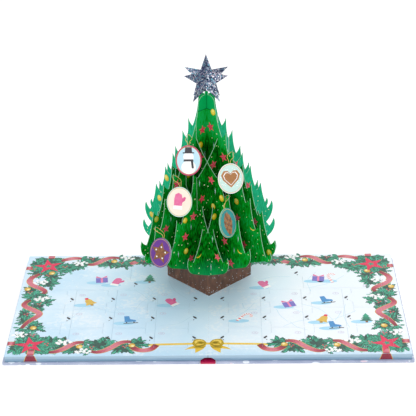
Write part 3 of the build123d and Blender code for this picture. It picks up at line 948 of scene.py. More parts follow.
def bunch_leaves(side, chance):
    """Places for the border's leaves and twigs, dark ones below and light ones on top."""
    leaves, twigs = [], []
    for x, y, across, up, few in BUNCHES:
        count = round(1.5 * few)
        for n in range(count):
            for _ in range(LEAF_TRIES):
                angle = chance.uniform(0, 2 * math.pi)
                out = math.sqrt(chance.random()) * 0.7
                base = (x + across * out * math.cos(angle), y + up * out * math.sin(angle))
                way = math.atan2(up * math.sin(angle), across * math.cos(angle)) + chance.uniform(-0.7, 0.7)
                size = chance.uniform(0.68, 1.05)
                reach = LEAF_LENGTH * size
                tip = (base[0] + reach * math.cos(way), base[1] + reach * math.sin(way))
                if 4 < tip[0] < PRINT_SIDE and abs(tip[1]) < PRINT_END:
                    break
            else:
                continue
            height = n / count
            lift = 0.05 + 0.26 * height + 0.008 * chance.random()
            place = on_page(side, *base, way, size, lift, 0.15 + 0.75 * height + chance.uniform(-0.15, 0.15))
            (twigs if chance.random() < 0.22 and height > 0.3 else leaves).append(place)
    for points in RIBBONS[:TUCKED_RIBBONS]:
        for (x, y), (next_x, next_y) in ((points[0], points[1]), (points[-1], points[-2])):
            back = math.atan2(y - next_y, x - next_x)
            for n in range(9):
                way = back + chance.uniform(-1.3, 1.3)
                aside = chance.uniform(-4.5, 4.5)
                c, s = math.cos(back), math.sin(back)
                base = (x - 3 * c - aside * s, y - 3 * s + aside * c)
                lift = 0.36 + 0.002 * n
                size, tint = chance.uniform(0.6, 0.85), chance.uniform(0.2, 0.9)
                leaves.append(on_page(side, *base, way, size, lift, tint))
    return leaves, twigs


def ribbon_shade(share):
    """A ribbon's light, brightest at the middle of its length."""
    return 0.15 + 0.72 * math.sin(math.pi * share)


# How high each layer of the border lies, as shares of the print's rise
RIBBON_LIFT, BERRY_LIFT, BALL_LIFT, STAR_LIFT, HEART_LIFT = 0.335, 0.40, 0.42, 0.6, 0.63


def border_print(half):
    """The printed border of one page: leaves, ribbon, baubles, berries, snow flowers and corner stars."""
    side = SIDES[half]
    chance = random.Random(11)
    leaves, twigs = bunch_leaves(side, chance)
    meshes = [drawn("bough", dark_boughs(chance), LEAF_INK, page_matrix(side, 0.03))]
    meshes += [stamped(HOLLY, LEAF_INK, leaves), stamped(SPRIG, LEAF_INK, twigs)]
    bands, rims = [], []
    for n, points in enumerate(RIBBONS):
        taper = 0.5 if n < TUCKED_RIBBONS else 0.0
        bands += strip(points, -RIBBON_HALF, RIBBON_HALF, ribbon_shade, 0.0, taper)
        for low, high in ((RIBBON_HALF - 0.5, RIBBON_HALF + 0.1), (-RIBBON_HALF - 0.1, -RIBBON_HALF + 0.5)):
            rims += strip(points, low, high, lambda t: 0.55, 0.012, taper)
    meshes.append(drawn("ribbon", bands, RIBBON_INK, page_matrix(side, RIBBON_LIFT)))
    meshes.append(drawn("ribbon_rim", rims, GOLD_INK, page_matrix(side, RIBBON_LIFT)))
    meshes.append(stamped(BALL, GOLD_INK, [on_page(side, x, y, 0, 1, BALL_LIFT) for x, y in BAUBLES]))
    berries, flowers = [], []
    for x, y in BERRIES:
        for n in range(3):
            spread = 2.1 * n + chance.uniform(0, 0.6)
            place = (x + 2.6 * math.cos(spread), y + 2.6 * math.sin(spread))
            berries.append(on_page(side, *place, 0, 1, BERRY_LIFT + 0.012 * n))
    for x, y in FLOWERS:
        for n in range(9):
            out = 2.4 if n < 3 else 6.6
            spread = 2.09 * n if n < 3 else 1.05 * n + chance.uniform(-0.3, 0.3)
            place = (x + 1.3 * out * math.cos(spread), y + 0.8 * out * math.sin(spread))
            turn, size = chance.uniform(0, 1), chance.uniform(0.6, 0.85)
            flowers.append(on_page(side, *place, turn, size, BERRY_LIFT + 0.009 * n))
    meshes.append(stamped(BERRY, BERRY_INK, berries))
    meshes.append(stamped(FLOWER, SNOW_INK, flowers))
    for name, radius, inner, light, dark, made, height in (
        ("corner_star", 21.0, 7.9, 0.52, 0.46, STAR_INK, STAR_LIFT),
        ("star_heart", 5.8, 2.5, 0.7, 0.5, LEAF_INK, HEART_LIFT),
    ):
        facets = []
        for x, y in CORNER_STARS:
            rays = star_points(radius, inner, CORNER_STAR_TURN[half])
            for points, shade, lift in faceted(rays, light, dark):
                facets.append(([(x + px, y + py) for px, py in points], shade, lift))
        meshes.append(drawn(name, facets, made, page_matrix(side, height)))
    return meshes


def bow_print(half):
    """Half of the printed gold bow across the gutter, with its string."""
    side = SIDES[half]
    loop = [(0.1, -104.6), (2.2, -102.8), (5.3, -97), (10.3, -94.7), (15.2, -94.3), (18, -95.8), (19.9, -101)]
    loop += [(20.5, -106.8), (18.3, -110.8), (15.9, -113.2), (10.3, -113.7), (5.3, -110.3), (1.6, -106.4)]
    sheen = [(4.5, -101.5), (8, -97.5), (13, -96.3), (16.6, -98.5), (17.6, -103), (16.2, -106)]
    sheen += [(14.6, -103.5), (13.4, -100), (9, -99.5)]
    shade = [(3, -106.5), (8, -109.8), (13, -111), *loop[8:12]]
    hollow = [(5.5, -103), (9, -101.2), (12.6, -102.2), (12, -105), (8.5, -105.6)]
    glint = [(5.4, -106), (9, -106.8), (13.6, -106.6), (16, -108.6), (12, -109.4), (7.6, -108.4)]
    tail = [(2.4, -107), (2.8, -111.4), (6.5, -118.9), (11.5, -123.6), (16.2, -127.6), (16.5, -117.2)]
    tail += [(24.6, -118.4), (30.2, -120.4), (25.2, -114.9), (19.9, -111.4), (10, -109)]
    crease = [(2.8, -111.4), (6, -112), (14, -114), (19.9, -112.6), (16.4, -116.5), (8.6, -116.5)]
    crease.append((5, -115.6))
    knot = [(0.1, -103), (2.6, -103.6), (2.9, -106), (2.4, -108), (0.1, -108.2)]
    string = strip([(20, -105.8), (45, -106.6), (65, -107.2), (86, -109)], -2.2, 2.2, lambda t: 0.72, 0.0)
    shapes = string + [(tail, 0.62, 0.02), (crease, 0.35, 0.03), (loop, 0.4, 0.04), (sheen, 0.78, 0.05)]
    shapes += [(shade, 0.15, 0.05), (hollow, 0.12, 0.06), (glint, 0.7, 0.07), (knot, 0.6, 0.08)]
    return [drawn("bow", shapes, BOW_INK, page_matrix(side, 0.1))]


def skate_tracks(half):
    """Faint printed skate tracks on the ice."""
    side = SIDES[half]
    chance = random.Random(23 + side)
    lines = []
    for n in range(16):
        x, y = chance.uniform(8, 190), chance.uniform(-88, 60)
        angle, length, bend = chance.uniform(0, math.pi), chance.uniform(25, 60), chance.uniform(-9, 9)
        c, s = math.cos(angle), math.sin(angle)
        middle = (x + c * length / 2 - s * bend, y + s * length / 2 + c * bend)
        end = (x + c * length, y + s * length)
        if 4 < end[0] < 205 and -92 < end[1] < 92:
            lines += strip([(x, y), middle, end], -0.28, 0.28, lambda t: 0.5, 0.001 * n)
    return [drawn("track", lines, TRACK_INK, page_matrix(side, 0.02))]


NUMBER_HEIGHT = 0.09 * MM


def number_print(half, numbers):
    """Plain door numbers in small ovals, upright to the reader on both pages."""
    meshes = []
    for door, number in numbers.items():
        column, row = column_row(door)
        x, y = (61 + COLUMN_PITCH * column, DOOR_ROWS[row] + 11) if door < LARGE_DOOR else (216, 39.5)
        words = bpy.data.curves.new("number", "FONT")
        words.body = str(number)
        words.size = 3.6
        words.align_x = "CENTER"
        words.align_y = "CENTER"
        holder = placed("number", words)
        mesh = as_mesh(holder)
        bpy.data.objects.remove(holder)
        mark(mesh, "shade", "FACE", [0.3] * len(mesh.polygons))
        mark(mesh, "tint", "POINT", [MIDDLE_TINT] * len(mesh.vertices))
        mesh.materials.clear()
        mesh.materials.append(NUMBER_INK)
        place = Matrix.Translation((SIDES[half] * x * MM, y * MM, PAGE_TOP + NUMBER_HEIGHT))
        place = place @ Matrix.Scale(MM, 4)
        mesh.transform(place)
        outer, inner = disc(0, 0, 4.2, 2.9, 20), disc(0, 0, 3.6, 2.4, 20)
        ring = [([a, b, d, c], 0.6, 0) for (a, b), (c, d) in zip(round_pairs(outer), round_pairs(inner))]
        meshes += [mesh, drawn("oval", ring, NUMBER_INK, place)]
    return meshes


def mitten():
    """A knitted mitten with a pale cuff."""
    hand = [(-3.4, -3), (3, -3), (3.6, 2), (2.6, 6), (0, 7.4), (-2.6, 6), (-3.4, 2)]
    thumb = [(2.4, -1.2), (5.4, 1.4), (6.2, 3.8), (4.6, 4.4), (2.8, 2.4)]
    cuff = [(-3.8, -6), (3.4, -6), (3.4, -3), (-3.8, -3)]
    return [(PINK_INK, [(hand, 0.5, 0), (thumb, 0.35, 0.01)]), (SNOW_INK, [(cuff, 0.8, 0.02)])]


def parcel():
    """A wrapped parcel with a bow."""
    wrap = [(-5, -5), (5, -5), (5, 3), (-5, 3)]
    tape = [(-0.9, -5), (0.9, -5), (0.9, 3), (-0.9, 3)]
    bows = [([(0, 3), (4.4, 6.4), (4.8, 3.6)], 0.6, 0.01), ([(0, 3), (-4.8, 3.6), (-4.4, 6.4)], 0.4, 0.01)]
    return [(VIOLET_INK, [(wrap, 0.5, 0)]), (PINK_INK, [(tape, 0.7, 0.01)] + bows)]


def bell():
    """A gold hand bell."""
    body = [(-5, -4), (5, -4), (3.4, -1), (2.8, 3), (1.4, 5.4), (-1.4, 5.4), (-2.8, 3), (-3.4, -1)]
    gold = [(body, 0.55, 0), (disc(0, -5, 1.4), 0.25, 0.01)]
    return [(GOLD_INK, gold), (RED_INK, [(disc(0, 6, 1.6), 0.5, 0.01)])]


def cane():
    """A striped sugar cane."""
    path = [(-2, -7), (-2, 0), (-2, 4), (0, 6.8), (3, 6.4), (4, 3.6)]
    white = strip(path, -1.2, 1.2, lambda t: 0.9, 0.0)
    red = [(quad, 0.5, 0.01) for quad, _, _ in white[::3]]
    return [(SNOW_INK, white), (RED_INK, red)]


def fir():
    """A small fir with a brown foot."""
    tiers = [([(-5.5, -4), (5.5, -4), (0, 2)], 0.4, 0), ([(-4.4, -0.6), (4.4, -0.6), (0, 5)], 0.55, 0.01)]
    tiers.append(([(-3, 2.8), (3, 2.8), (0, 8)], 0.7, 0.02))
    return [(BROWN_INK, [([(-1, -6.4), (1, -6.4), (1, -4), (-1, -4)], 0.4, 0)]), (LEAF_INK, tiers)]


def skate():
    """An ice skate: a blue boot on a dark blade."""
    boot = [(-4, 6), (0, 6), (0.6, 1.2), (5, -0.6), (5.4, -3), (-4, -3)]
    blade = [(-5, -5.4), (6.4, -5.4), (7, -4.4), (-5, -4.4)]
    posts = [([(x, -4.4), (x + 1, -4.4), (x + 1, -3), (x, -3)], 0.5, 0) for x in (-3, 3)]
    return [(BLUE_INK, [(boot, 0.5, 0)]), (BLACK_INK, [(blade, 0.5, 0.0)] + posts)]


# Small winter pictures on the ice: which, where on the page, and how far turned
PICTURES = {
    "left": [
        (parcel, 150, 62, 0.1), (mitten, 129, 55, -0.3), (fir, 83, 63, 0.0),
        (bell, 162, 1, 0.5), (mitten, 50, -1, 0.7), (skate, 105, -46, 0.1),
    ],
    "right": [
        (mitten, 76, 45, 0.6), (parcel, 152, 62, -0.1), (cane, 171, 62, 0.3),
        (parcel, 108, -7, 0.3), (skate, 159, 3, 0.2), (cane, 47, -42, -0.6),
        (bell, 152, -47, -0.4), (skate, 166, -62, 0.1), (fir, 209, -46, 0.0),
    ],
}
PICTURE_SIZE = 1.65
PICTURE_HEIGHT = 0.06 * MM


def picture_print(half):
    """The small pictures, each over a pale blue shadow on the ice."""
    meshes = []
    for picture, x, y, angle in PICTURES[half]:
        place = Matrix.Translation((SIDES[half] * x * MM, y * MM, PAGE_TOP + PICTURE_HEIGHT))
        turn = place @ Matrix.Rotation(angle, 4, "Z") @ Matrix.Scale(PICTURE_SIZE * MM, 4)
        cast = [(disc(-5, -6, 10, 3.2, 18, 0.2), 0.5, -0.02)]
        meshes.append(drawn("cast", cast, SHADOW_INK, place @ Matrix.Scale(1.4 * MM, 4)))
        for made, polygons in picture():
            meshes.append(drawn(picture.__name__, polygons, made, turn))
    return meshes


# Slanted outline of the painted shade in a thumb notch
NOTCH = [(-2.6, -2.8), (-1.6, 0.4), (1.2, 3.4), (2.8, 3.4), (2.0, 0.2), (-0.8, -2.4)]


def notch_shade(half):
    """Painted shade in each thumb notch, where the hole looks dark, and in the small slit in front of it."""
    side = SIDES[half]
    shades, slits = [], []
    for number in DOORS:
        tip = door_outline(half, number)[4:6]
        x, y = tip[0].x / MM * side - 0.3, (tip[0].y + tip[1].y) / 2 / MM
        shades.append(([(x + px, y + py) for px, py in NOTCH], 0.4, 0.0))
        slits.append(([(x + 0.6, y - 5.6), (x + 2.2, y - 4.4), (x + 2.2, y - 7.2)], 0.7, 0.0))
    return [drawn("notch", shades + slits, NOTCH_SHADE_INK, page_matrix(side, 0.45))]


def ribbon_flap(half):
    """The ribbon print that runs down over the front of the tray."""
    x = 227 * SIDES[half]
    flap = [(x - 8.8, 3.4), (x + 8.8, 3.4), (x + 5.6, 11.9), (x - 5.6, 11.9)]
    rims = [([flap[0], (x - 8.0, 3.4), (x - 5.0, 11.9), flap[3]], 0.5, 0.01)]
    rims.append(([(x + 8.0, 3.4), flap[1], flap[2], (x + 5.0, 11.9)], 0.5, 0.01))
    upright = Matrix.Translation((0, TRAY_FRONT - 0.05 * MM, 0)) @ Matrix.Rotation(math.pi / 2, 4, "X")
    upright = upright @ Matrix.Scale(MM, 4)
    meshes = [drawn("flap", [(flap, 0.35, 0.0)], RIBBON_INK, upright), drawn("rim", rims, GOLD_INK, upright)]
    piece = film_piece(f"{half}_ribbon_flap", meshes, f"{half}_half")


def page_fold(half):
    """The strip of page paper that runs on to the fold over the gutter."""
    made = bmesh.new()
    bmesh.ops.create_cube(made, size=1.0)
    near, far = 0.02, 0.3
    middle = (SIDES[half] * (near + far) / 2 * MM, 0, PAGE_TOP - PAGE_SHEET / 2)
    place = Matrix.Translation(middle) @ Matrix.Diagonal(((far - near) * MM, PAGE_DEPTH, PAGE_SHEET, 1))
    bmesh.ops.transform(made, matrix=place, verts=made.verts)
    piece = show(f"{half}_page_fold", to_mesh("page_fold", made), f"{half}_half", ICE)


order = list(range(1, 25))
random.Random(5).shuffle(order)
DOOR_NUMBERS = {"left": dict(zip(range(1, 13), order)), "right": dict(zip(range(1, 13), order[12:]))}
DOOR_NUMBERS["right"][13] = 25

for half in SIDES:
    prints = border_print(half) + bow_print(half) + skate_tracks(half) + picture_print(half)
    lay_on_half(half, prints + number_print(half, DOOR_NUMBERS[half]) + notch_shade(half))
    ribbon_flap(half)
    page_fold(half)

# Tree print


def card_faces(piece, way):
    """The triangles of one face of a card, and the edges round them."""
    mesh = piece.data
    faces = [p for p in mesh.polygons if p.material_index == 0 and (p.normal.y < 0) == (way > 0)]
    counts = {}
    for face in faces:
        for key in face.edge_keys:
            counts[key] = counts.get(key, 0) + 1
    rim = [(mesh.vertices[a].co, mesh.vertices[b].co) for (a, b), n in counts.items() if n == 1]
    triangles = [[mesh.vertices[i].co.copy() for i in face.vertices] for face in faces]
    return triangles, rim, faces[0].normal.copy()


def clear_of(point, rim, reach):
    """Whether a point is at least reach from every edge."""
    for a, b in rim:
        along = b - a
        t = max(0.0, min(1.0, (point - a).dot(along) / max(along.length_squared, 1e-12)))
        if (a + along * t - point).length < reach:
            return False
    return True


# Clear reach, card area for each and spacing of the painted motifs, in millimetres
NOT_SCATTERED = 1e9
MOTIF_TRIES = 8
MOTIFS = {
    "star": (6.4, 1650, 19),
    "ball": (4.6, 2300, 15),
    "moon": (4.8, NOT_SCATTERED, 15),
    "icicle": (4.6, 2600, 13),
    "dot": (1.1, 260, 4.5),
}
CROSSINGS = (-40.8, -20.4, 0.0, 20.4, 40.8)
# Share of the motifs left off the side wings, where the front's own list starts, and the bare cap
WING_BARENESS = 0.72
FRONT_START = 18
CAP_FOOT = 0.25
# Motifs that show from the front: card, distance out from the trunk's axis and height above the page
FRONT_MOTIFS = [
    ("star", "b", 3, 8.9, 224.8), ("star", "a", 3, 7.2, 228.4), ("star", "a", 2, 8.0, 200.0),
    ("star", "a", 3, 31.1, 191.9), ("star", "a", 2, 28.0, 164.2), ("star", "b", 2, 31.4, 137.9),
    ("star", "b", 2, 47.0, 117.4), ("star", "b", 3, 60.0, 160.2), ("star", "b", 2, 63.6, 92.5),
    ("star", "b", 3, 79.2, 103.2), ("star", "b", 2, 54.1, 55.9), ("star", "a", 1, 58.6, 67.1),
    ("star", "a", 2, 63.6, 52.0), ("star", "a", 2, 52.5, 81.6), ("star", "a", 3, 68.3, 74.7),
    ("star", "a", 3, 56.3, 110.6), ("star", "a", 4, 69.3, 101.5), ("star", "b", 2, -38.0, 170.0),
    ("star", "a", 5, 75.0, 80.0), ("ball", "a", 3, 13.1, 250.0), ("ball", "b", 3, 13.0, 204.0),
    ("ball", "b", 3, 40.0, 165.0), ("ball", "a", 2, 48.7, 143.8), ("ball", "a", 3, 54.9, 134.5),
    ("ball", "a", 2, 31.2, 126.3), ("ball", "b", 1, 29.0, 117.5), ("ball", "b", 2, 64.4, 117.7),
    ("ball", "b", 4, 79.8, 113.2), ("ball", "b", 2, 62.8, 70.5), ("moon", "b", 1, 60.3, 69.7),
    ("moon", "a", 2, 80.6, 76.0), ("moon", "a", 3, 85.0, 103.0), ("ball", "a", 4, 96.0, 64.5),
    ("ball", "a", 2, -60.0, 138.2), ("ball", "a", 2, -76.0, 101.7), ("icicle", "a", 3, 12.9, 203.0),
    ("icicle", "b", 2, 37.0, 162.0), ("icicle", "a", 2, 36.0, 149.0), ("icicle", "b", 2, 52.7, 103.0),
    ("icicle", "b", 3, 70.4, 114.0), ("icicle", "a", 1, 52.2, 90.0), ("icicle", "a", 1, 46.0, 47.0),
    ("icicle", "b", 2, 77.1, 71.0), ("icicle", "a", 2, 77.7, 94.0), ("icicle", "a", 2, 70.0, 73.0),
]


def on_triangles(point, triangles, normal):
    """Whether a point lies on one of the triangles of a face."""
    for a, b, c in triangles:
        if all((q - p).cross(point - p).dot(normal) >= 0 for p, q in ((a, b), (b, c), (c, a))):
            return True
    return False


def motif_fits(kind, point, out, rim, taken):
    """Whether a motif is clear of the card's edges, the crossing cards and the other motifs."""
    reach, _, spacing = MOTIFS[kind]
    if kind != "dot" and min(abs(out - crossing) for crossing in CROSSINGS) < reach + 0.4:
        return False
    if any((point - q).length < (spacing + r) / 2 * MM for q, r in taken):
        return False
    return clear_of(point, rim, reach * MM)


def nearest_fit(kind, out, height, face, along):
    """The first clear place on a face near the wanted one, or nothing."""
    triangles, rim, normal = face
    for ring in range(8):
        for n in range(12 if ring else 1):
            angle = math.pi * n / 6
            aside, up = out + 1.4 * ring * math.cos(angle), height + 1.4 * ring * math.sin(angle)
            start = triangles[0][0]
            level = Vector((0, TREE_Y, 0)) + normal * (start - Vector((0, TREE_Y, 0))).dot(normal)
            point = level + along * aside * MM + Vector((0, 0, PAGE_TOP + up * MM))
            if on_triangles(point, triangles, normal) and motif_fits(kind, point, aside, rim, []):
                return point
    return None


def card_motifs(family, number, way, chance, stamps):
    """Chooses places for the motifs on one face of a card."""
    face = card_faces(fir_cards[family, number], way)
    triangles, rim, normal = face
    areas = [(b - a).cross(c - a).length / 2 for a, b, c in triangles]
    square_mm = sum(areas) / MM**2
    along = ACROSS[family]
    base = Matrix((Vector((0, 0, 1)).cross(normal), Vector((0, 0, 1)), normal)).transposed()
    places, taken = [], []
    if way > 0:
        for kind, own_family, own_number, out, height in FRONT_MOTIFS:
            own = (own_family, own_number) == (family, number)
            point = nearest_fit(kind, out, height, face, along) if own else None
            if point:
                places.append((kind, point))
                taken.append((point, MOTIFS[kind][2]))
    for kind, (_, each, spacing) in MOTIFS.items():
        for n in range(int(square_mm / each)):
            for _ in range(MOTIF_TRIES):
                a, b, c = chance.choices(triangles, areas)[0]
                u, v = chance.random(), chance.random()
                if u + v > 1:
                    u, v = 1 - u, 1 - v
                point = a + (b - a) * u + (c - a) * v
                out = way * (point - Vector((0, TREE_Y, 0))).dot(along) / MM
                if out < 0 and chance.random() < WING_BARENESS:
                    continue
                if way > 0 and out > FRONT_START and kind != "dot" or point.z > CAP_FOOT:
                    continue
                if motif_fits(kind, point, out, rim, taken):
                    break
            else:
                continue
            places.append((kind, point))
            taken.append((point, spacing))
    for kind, point in places:
        spin = 0.0 if kind == "icicle" else chance.uniform(-0.5, 0.5)
        facing = (base @ Matrix.Rotation(spin, 3, "Z")).to_euler()
        size = chance.uniform(0.6, 1.05) if kind == "dot" else chance.uniform(0.92, 1.05)
        lifted = point + normal * 0.05 * MM
        if kind == "icicle":
            lifted = lifted + Vector((0, 0, 4 * MM))
        stamps[kind].append((lifted, tuple(facing), size, chance.random()))


def tree_print():
    """The painted stars, balls, crescents, icicles and snow dots on both faces of the cards."""
    chance = random.Random(42)
    stamps = {kind: [] for kind in MOTIFS}
    for family, number in fir_cards:
        for way in (1, -1):
            card_motifs(family, number, way, chance, stamps)
    painted = {
        "star": (FIR_STAR, RED_INK),
        "ball": (FIR_BALL, YELLOW_INK),
        "moon": (CRESCENT, YELLOW_INK),
        "icicle": (ICICLE, ICICLE_INK),
        "dot": (DOT, DOT_INK),
    }
    meshes = [stamped(motif, made, stamps[kind]) for kind, (motif, made) in painted.items()]
    piece = film_piece("fir_card_print", meshes, "spine")
    folds(piece)


tree_print()

# Hanging ornaments
OVAL_ACROSS, OVAL_UP, OVAL_CORNERS, OVAL_HALF_THICK = 17, 20, 48, 0.75


def snowman():
    """A plain snowman with a dark hat and scarf."""
    body = [(disc(0, -6, 6.4, 6), 0.7, 0), (disc(0, 3, 4.6, 4.4), 0.9, 0.02)]
    hat = [([(-5, 6.2), (5, 6.2), (5, 7.2), (-5, 7.2)], 0.5, 0.05)]
    hat.append(([(-3.2, 7.2), (3.2, 7.2), (2.8, 11.6), (-2.8, 11.6)], 0.4, 0.05))
    scarf = [([(-4.4, -0.8), (4.4, -0.8), (4, 1), (-4, 1)], 0.5, 0.05)]
    scarf.append(([(2, -0.8), (4, -0.8), (4.6, -7), (2.8, -7)], 0.35, 0.06))
    return [(SNOW_INK, body), (BLACK_INK, hat + scarf)]


def big_mitten():
    """A mitten, a little larger than on the ice."""
    grown = []
    for made, polygons in mitten():
        moved = []
        for outline, shade, lift in polygons:
            moved.append(([(x * 1.1 - 1, y * 1.1) for x, y in outline], shade, lift))
        grown.append((made, moved))
    return grown


def biscuit():
    """A gingerbread heart with icing."""
    half = [(7, -1), (8.4, 3.4), (6, 7), (2.6, 7)]
    heart = [(0, -8), *half, (0, 4.4), *[(-x, y) for x, y in reversed(half)]]
    iced = [(x * 0.78, y * 0.78 + 0.2) for x, y in heart]
    inner = [(x * 0.7, y * 0.7 + 0.2) for x, y in heart]
    return [(BROWN_INK, [(heart, 0.75, 0), (inner, 0.7, 0.04)]), (SNOW_INK, [(iced, 0.9, 0.02)])]


def cone():
    """A fir cone with overlapping scales."""
    scales = []
    for row in range(7):
        half = (2.2, 4.2, 5.2, 5.4, 4.8, 3.6, 2.2)[row]
        count = 2 if half < 3 else 3
        for n in range(count):
            x = -half + half * 2 * (n + 0.5) / count
            y = 8 - 2.7 * row
            w = half / count * 1.25
            outline = [(x - w, y), (x, y + 2.2), (x + w, y), (x + w * 0.5, y - 2.6), (x, y - 3.2)]
            outline.append((x - w * 0.5, y - 2.6))
            scales.append((outline, 0.35 + 0.3 * ((n + row) % 2), 0.005 * (7 - row) + 0.004 * n))
    return [(BROWN_INK, scales)]


def star_biscuit():
    """A gingerbread star with icing dots."""
    middles = [(5.2 * math.cos(a), 5.2 * math.sin(a)) for a in (0.31, 1.57, 2.83, 4.08, 5.34)]
    dots = [(disc(x, y, 0.8, corners=8), 0.9, 0.03) for x, y in middles]
    return [(BROWN_INK, faceted(star_points(10, 5), 0.5, 0.35)), (SNOW_INK, dots)]


# Middle in millimetres, turn and lean in degrees, the share where the rim ends, the inks of rim and
# field, the picture, and the ink of its snow dots
ORNAMENTS = [
    ((-24.16, 31.04, 209.0), 0, 20, 0.92, MAGENTA_INK, SKY_INK, snowman, None),
    ((-36.76, 12.54, 157.41), -10, 20, 0.94, MINT_INK, CREAM_INK, big_mitten, None),
    ((30.93, 22.47, 186.23), 10, 20, 0.95, SNOW_INK, MINT_INK, biscuit, SNOW_INK),
    ((26.6, -7.05, 135.75), 54, 15, 0.94, TEAL_INK, TEAL_INK, cone, None),
    ((-62.41, -12.01, 94.82), -35, 20, 0.93, PURPLE_INK, PURPLE_INK, star_biscuit, None),
]
# Cord routes in millimetres, from one end on the ornament's edge to the other
CORDS = [
    [
        (-25.1, 37.9, 227.8), (-25.1, 39.3, 231.6), (-28.9, 42.1, 233.8), (-26.0, 44.9, 235.9),
        (-27.7, 48.0, 237.1), (-24.2, 51.6, 237.1), (-21.1, 49.8, 235.9), (-18.8, 44.5, 233.8),
        (-23.3, 39.3, 231.6), (-23.3, 37.9, 227.8),
    ],
    [
        (-36.5, 19.4, 176.2), (-36.2, 20.8, 180.1), (-44.0, 24.0, 183.1), (-45.0, 25.9, 186.1),
        (-46.7, 29.0, 187.3), (-43.2, 32.6, 187.3), (-40.1, 30.8, 186.1), (-33.9, 25.1, 183.1),
        (-34.4, 20.5, 180.1), (-34.7, 19.1, 176.2),
    ],
    [
        (30.6, 29.4, 205.0), (30.4, 30.7, 208.9), (35.7, 34.3, 211.6), (34.3, 36.7, 214.2),
        (36.0, 39.8, 215.4), (32.5, 43.3, 215.4), (29.4, 41.5, 214.2), (25.7, 35.4, 211.6),
        (28.6, 30.4, 208.9), (28.9, 29.1, 205.0),
    ],
    [
        (21.9, -4.7, 155.1), (21.0, -4.1, 159.0), (22.9, 1.9, 160.6), (28.8, 13.3, 162.2),
        (30.5, 16.5, 163.4), (26.9, 20.0, 163.4), (23.9, 18.2, 162.2), (25.0, 10.5, 160.6),
        (22.1, -2.7, 159.0), (22.9, -3.3, 155.1),
    ],
    [
        (-59.2, -5.9, 113.6), (-58.4, -4.7, 117.5), (-66.8, 0.2, 119.5), (-69.7, 1.3, 121.5),
        (-71.4, 4.4, 122.7), (-67.8, 7.9, 122.7), (-64.8, 6.2, 121.5), (-58.1, -1.8, 119.5),
        (-56.9, -5.8, 117.5), (-57.8, -6.9, 113.6),
    ],
]
CORD_WIDTH = 0.7


def ornament_place(middle, turn, lean):
    """The place of a hanging oval: x across, y up the card, z out of its front."""
    turn, lean = math.radians(turn), math.radians(lean)
    across = Vector((math.cos(turn), math.sin(turn), 0))
    out = Vector((math.sin(turn), -math.cos(turn), 0)) * math.cos(lean) + Vector((0, 0, math.sin(lean)))
    place = Matrix((across, out.cross(across), out)).transposed().to_4x4()
    return Matrix.Translation(Vector(middle) * MM) @ place @ Matrix.Scale(MM, 4)


def oval_rings(front, shares):
    """Rings of one face of an oval card, from its edge to its middle."""
    rings = [disc(0, 0, OVAL_ACROSS * share, OVAL_UP * share, OVAL_CORNERS) for share in shares]
    faces = []
    for n, (outer, inner) in enumerate(zip(rings, rings[1:])):
        for (a, b), (d, c) in zip(round_pairs(outer), round_pairs(inner)):
            faces.append(([(x, y, front) for x, y in (a, b, c, d)], n))
    faces.append(([(x, y, front) for x, y in rings[-1]], len(rings) - 1))
    return faces


def hanging_ornament(number, middle, turn, lean, rim, rim_ink, field_ink, picture, dot_ink):
    """An oval card ornament, printed alike on both faces, with a cut edge."""
    made = bmesh.new()
    thick = OVAL_HALF_THICK
    for front in (thick, -thick):
        for points, ring in oval_rings(front, (1.0, rim, rim - 0.03)):
            face = made.faces.new([made.verts.new(p) for p in (points if front > 0 else points[::-1])])
            face.material_index = ring
    edge = disc(0, 0, OVAL_ACROSS, OVAL_UP, OVAL_CORNERS)
    for a, b in round_pairs(edge):
        side = [(*a, -thick), (*b, -thick), (*b, thick), (*a, thick)]
        made.faces.new([made.verts.new(p) for p in side]).material_index = 3
    bmesh.ops.remove_doubles(made, verts=made.verts, dist=1e-4)
    for label, domain in (("shade", "faces"), ("tint", "verts")):
        layer = getattr(made, domain).layers.float.new(label)
        for item in getattr(made, domain):
            item[layer] = MIDDLE_TINT
    place = ornament_place(middle, turn, lean)
    bmesh.ops.transform(made, matrix=place, verts=made.verts)
    node = f"ornament_{number}"
    piece = show(f"oval_card_{number}", to_mesh(node, made), "spine", rim_ink, GOLD_INK, field_ink, EDGE)
    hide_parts(node)
    folds(piece)
    meshes = []
    for flip in (Matrix.Identity(4), Matrix.Rotation(math.pi, 4, "Y")):
        lifted = place @ flip @ Matrix.Translation((0, 0, thick + 0.06))
        for made_ink, polygons in picture():
            meshes.append(drawn("picture", polygons, made_ink, lifted @ Matrix.Diagonal((1.5, 1.5, 1, 1))))
        if dot_ink:
            chance = random.Random(3)
            dots = []
            for n in range(60):
                reach, angle = 0.82 * math.sqrt(chance.random()), chance.uniform(0, 2 * math.pi)
                x, y = OVAL_ACROSS * reach * math.cos(angle), OVAL_UP * reach * math.sin(angle)
                dots.append((disc(x, y, 0.6, corners=6), 0.6, -0.03))
            meshes.append(drawn("dots", dots, dot_ink, lifted))
    image = film_piece(f"oval_picture_{number}", meshes, "spine")
    folds(image)


def gold_loop(number, route):
    """An ornament's cord: a thin thread along its route, round the leaf tip."""
    line = bpy.data.curves.new("loop", "CURVE")
    line.dimensions = "3D"
    spline = line.splines.new("NURBS")
    spline.points.add(len(route) - 1)
    for point, place in zip(spline.points, route):
        point.co = (*(Vector(place) * MM), 1)
    spline.order_u = 3
    spline.use_endpoint_u = True
    line.resolution_u = 8
    holder = placed("loop", line)
    path = [v.co.copy() for v in as_mesh(holder).vertices]
    line.bevel_depth = CORD_WIDTH / 2 * MM
    line.bevel_resolution = 2
    line.use_fill_caps = True
    tube = as_mesh(holder)
    bpy.data.objects.remove(holder)
    tube.materials.clear()
    tube.shade_smooth()
    piece = show(f"gold_loop_{number}", tube, "spine", GOLD_THREAD)
    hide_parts(f"ornament_cord_{number}")
    folds(piece)


for number, facts in enumerate(ORNAMENTS, start=1):
    hanging_ornament(number, *facts)
    gold_loop(number, CORDS[number - 1])

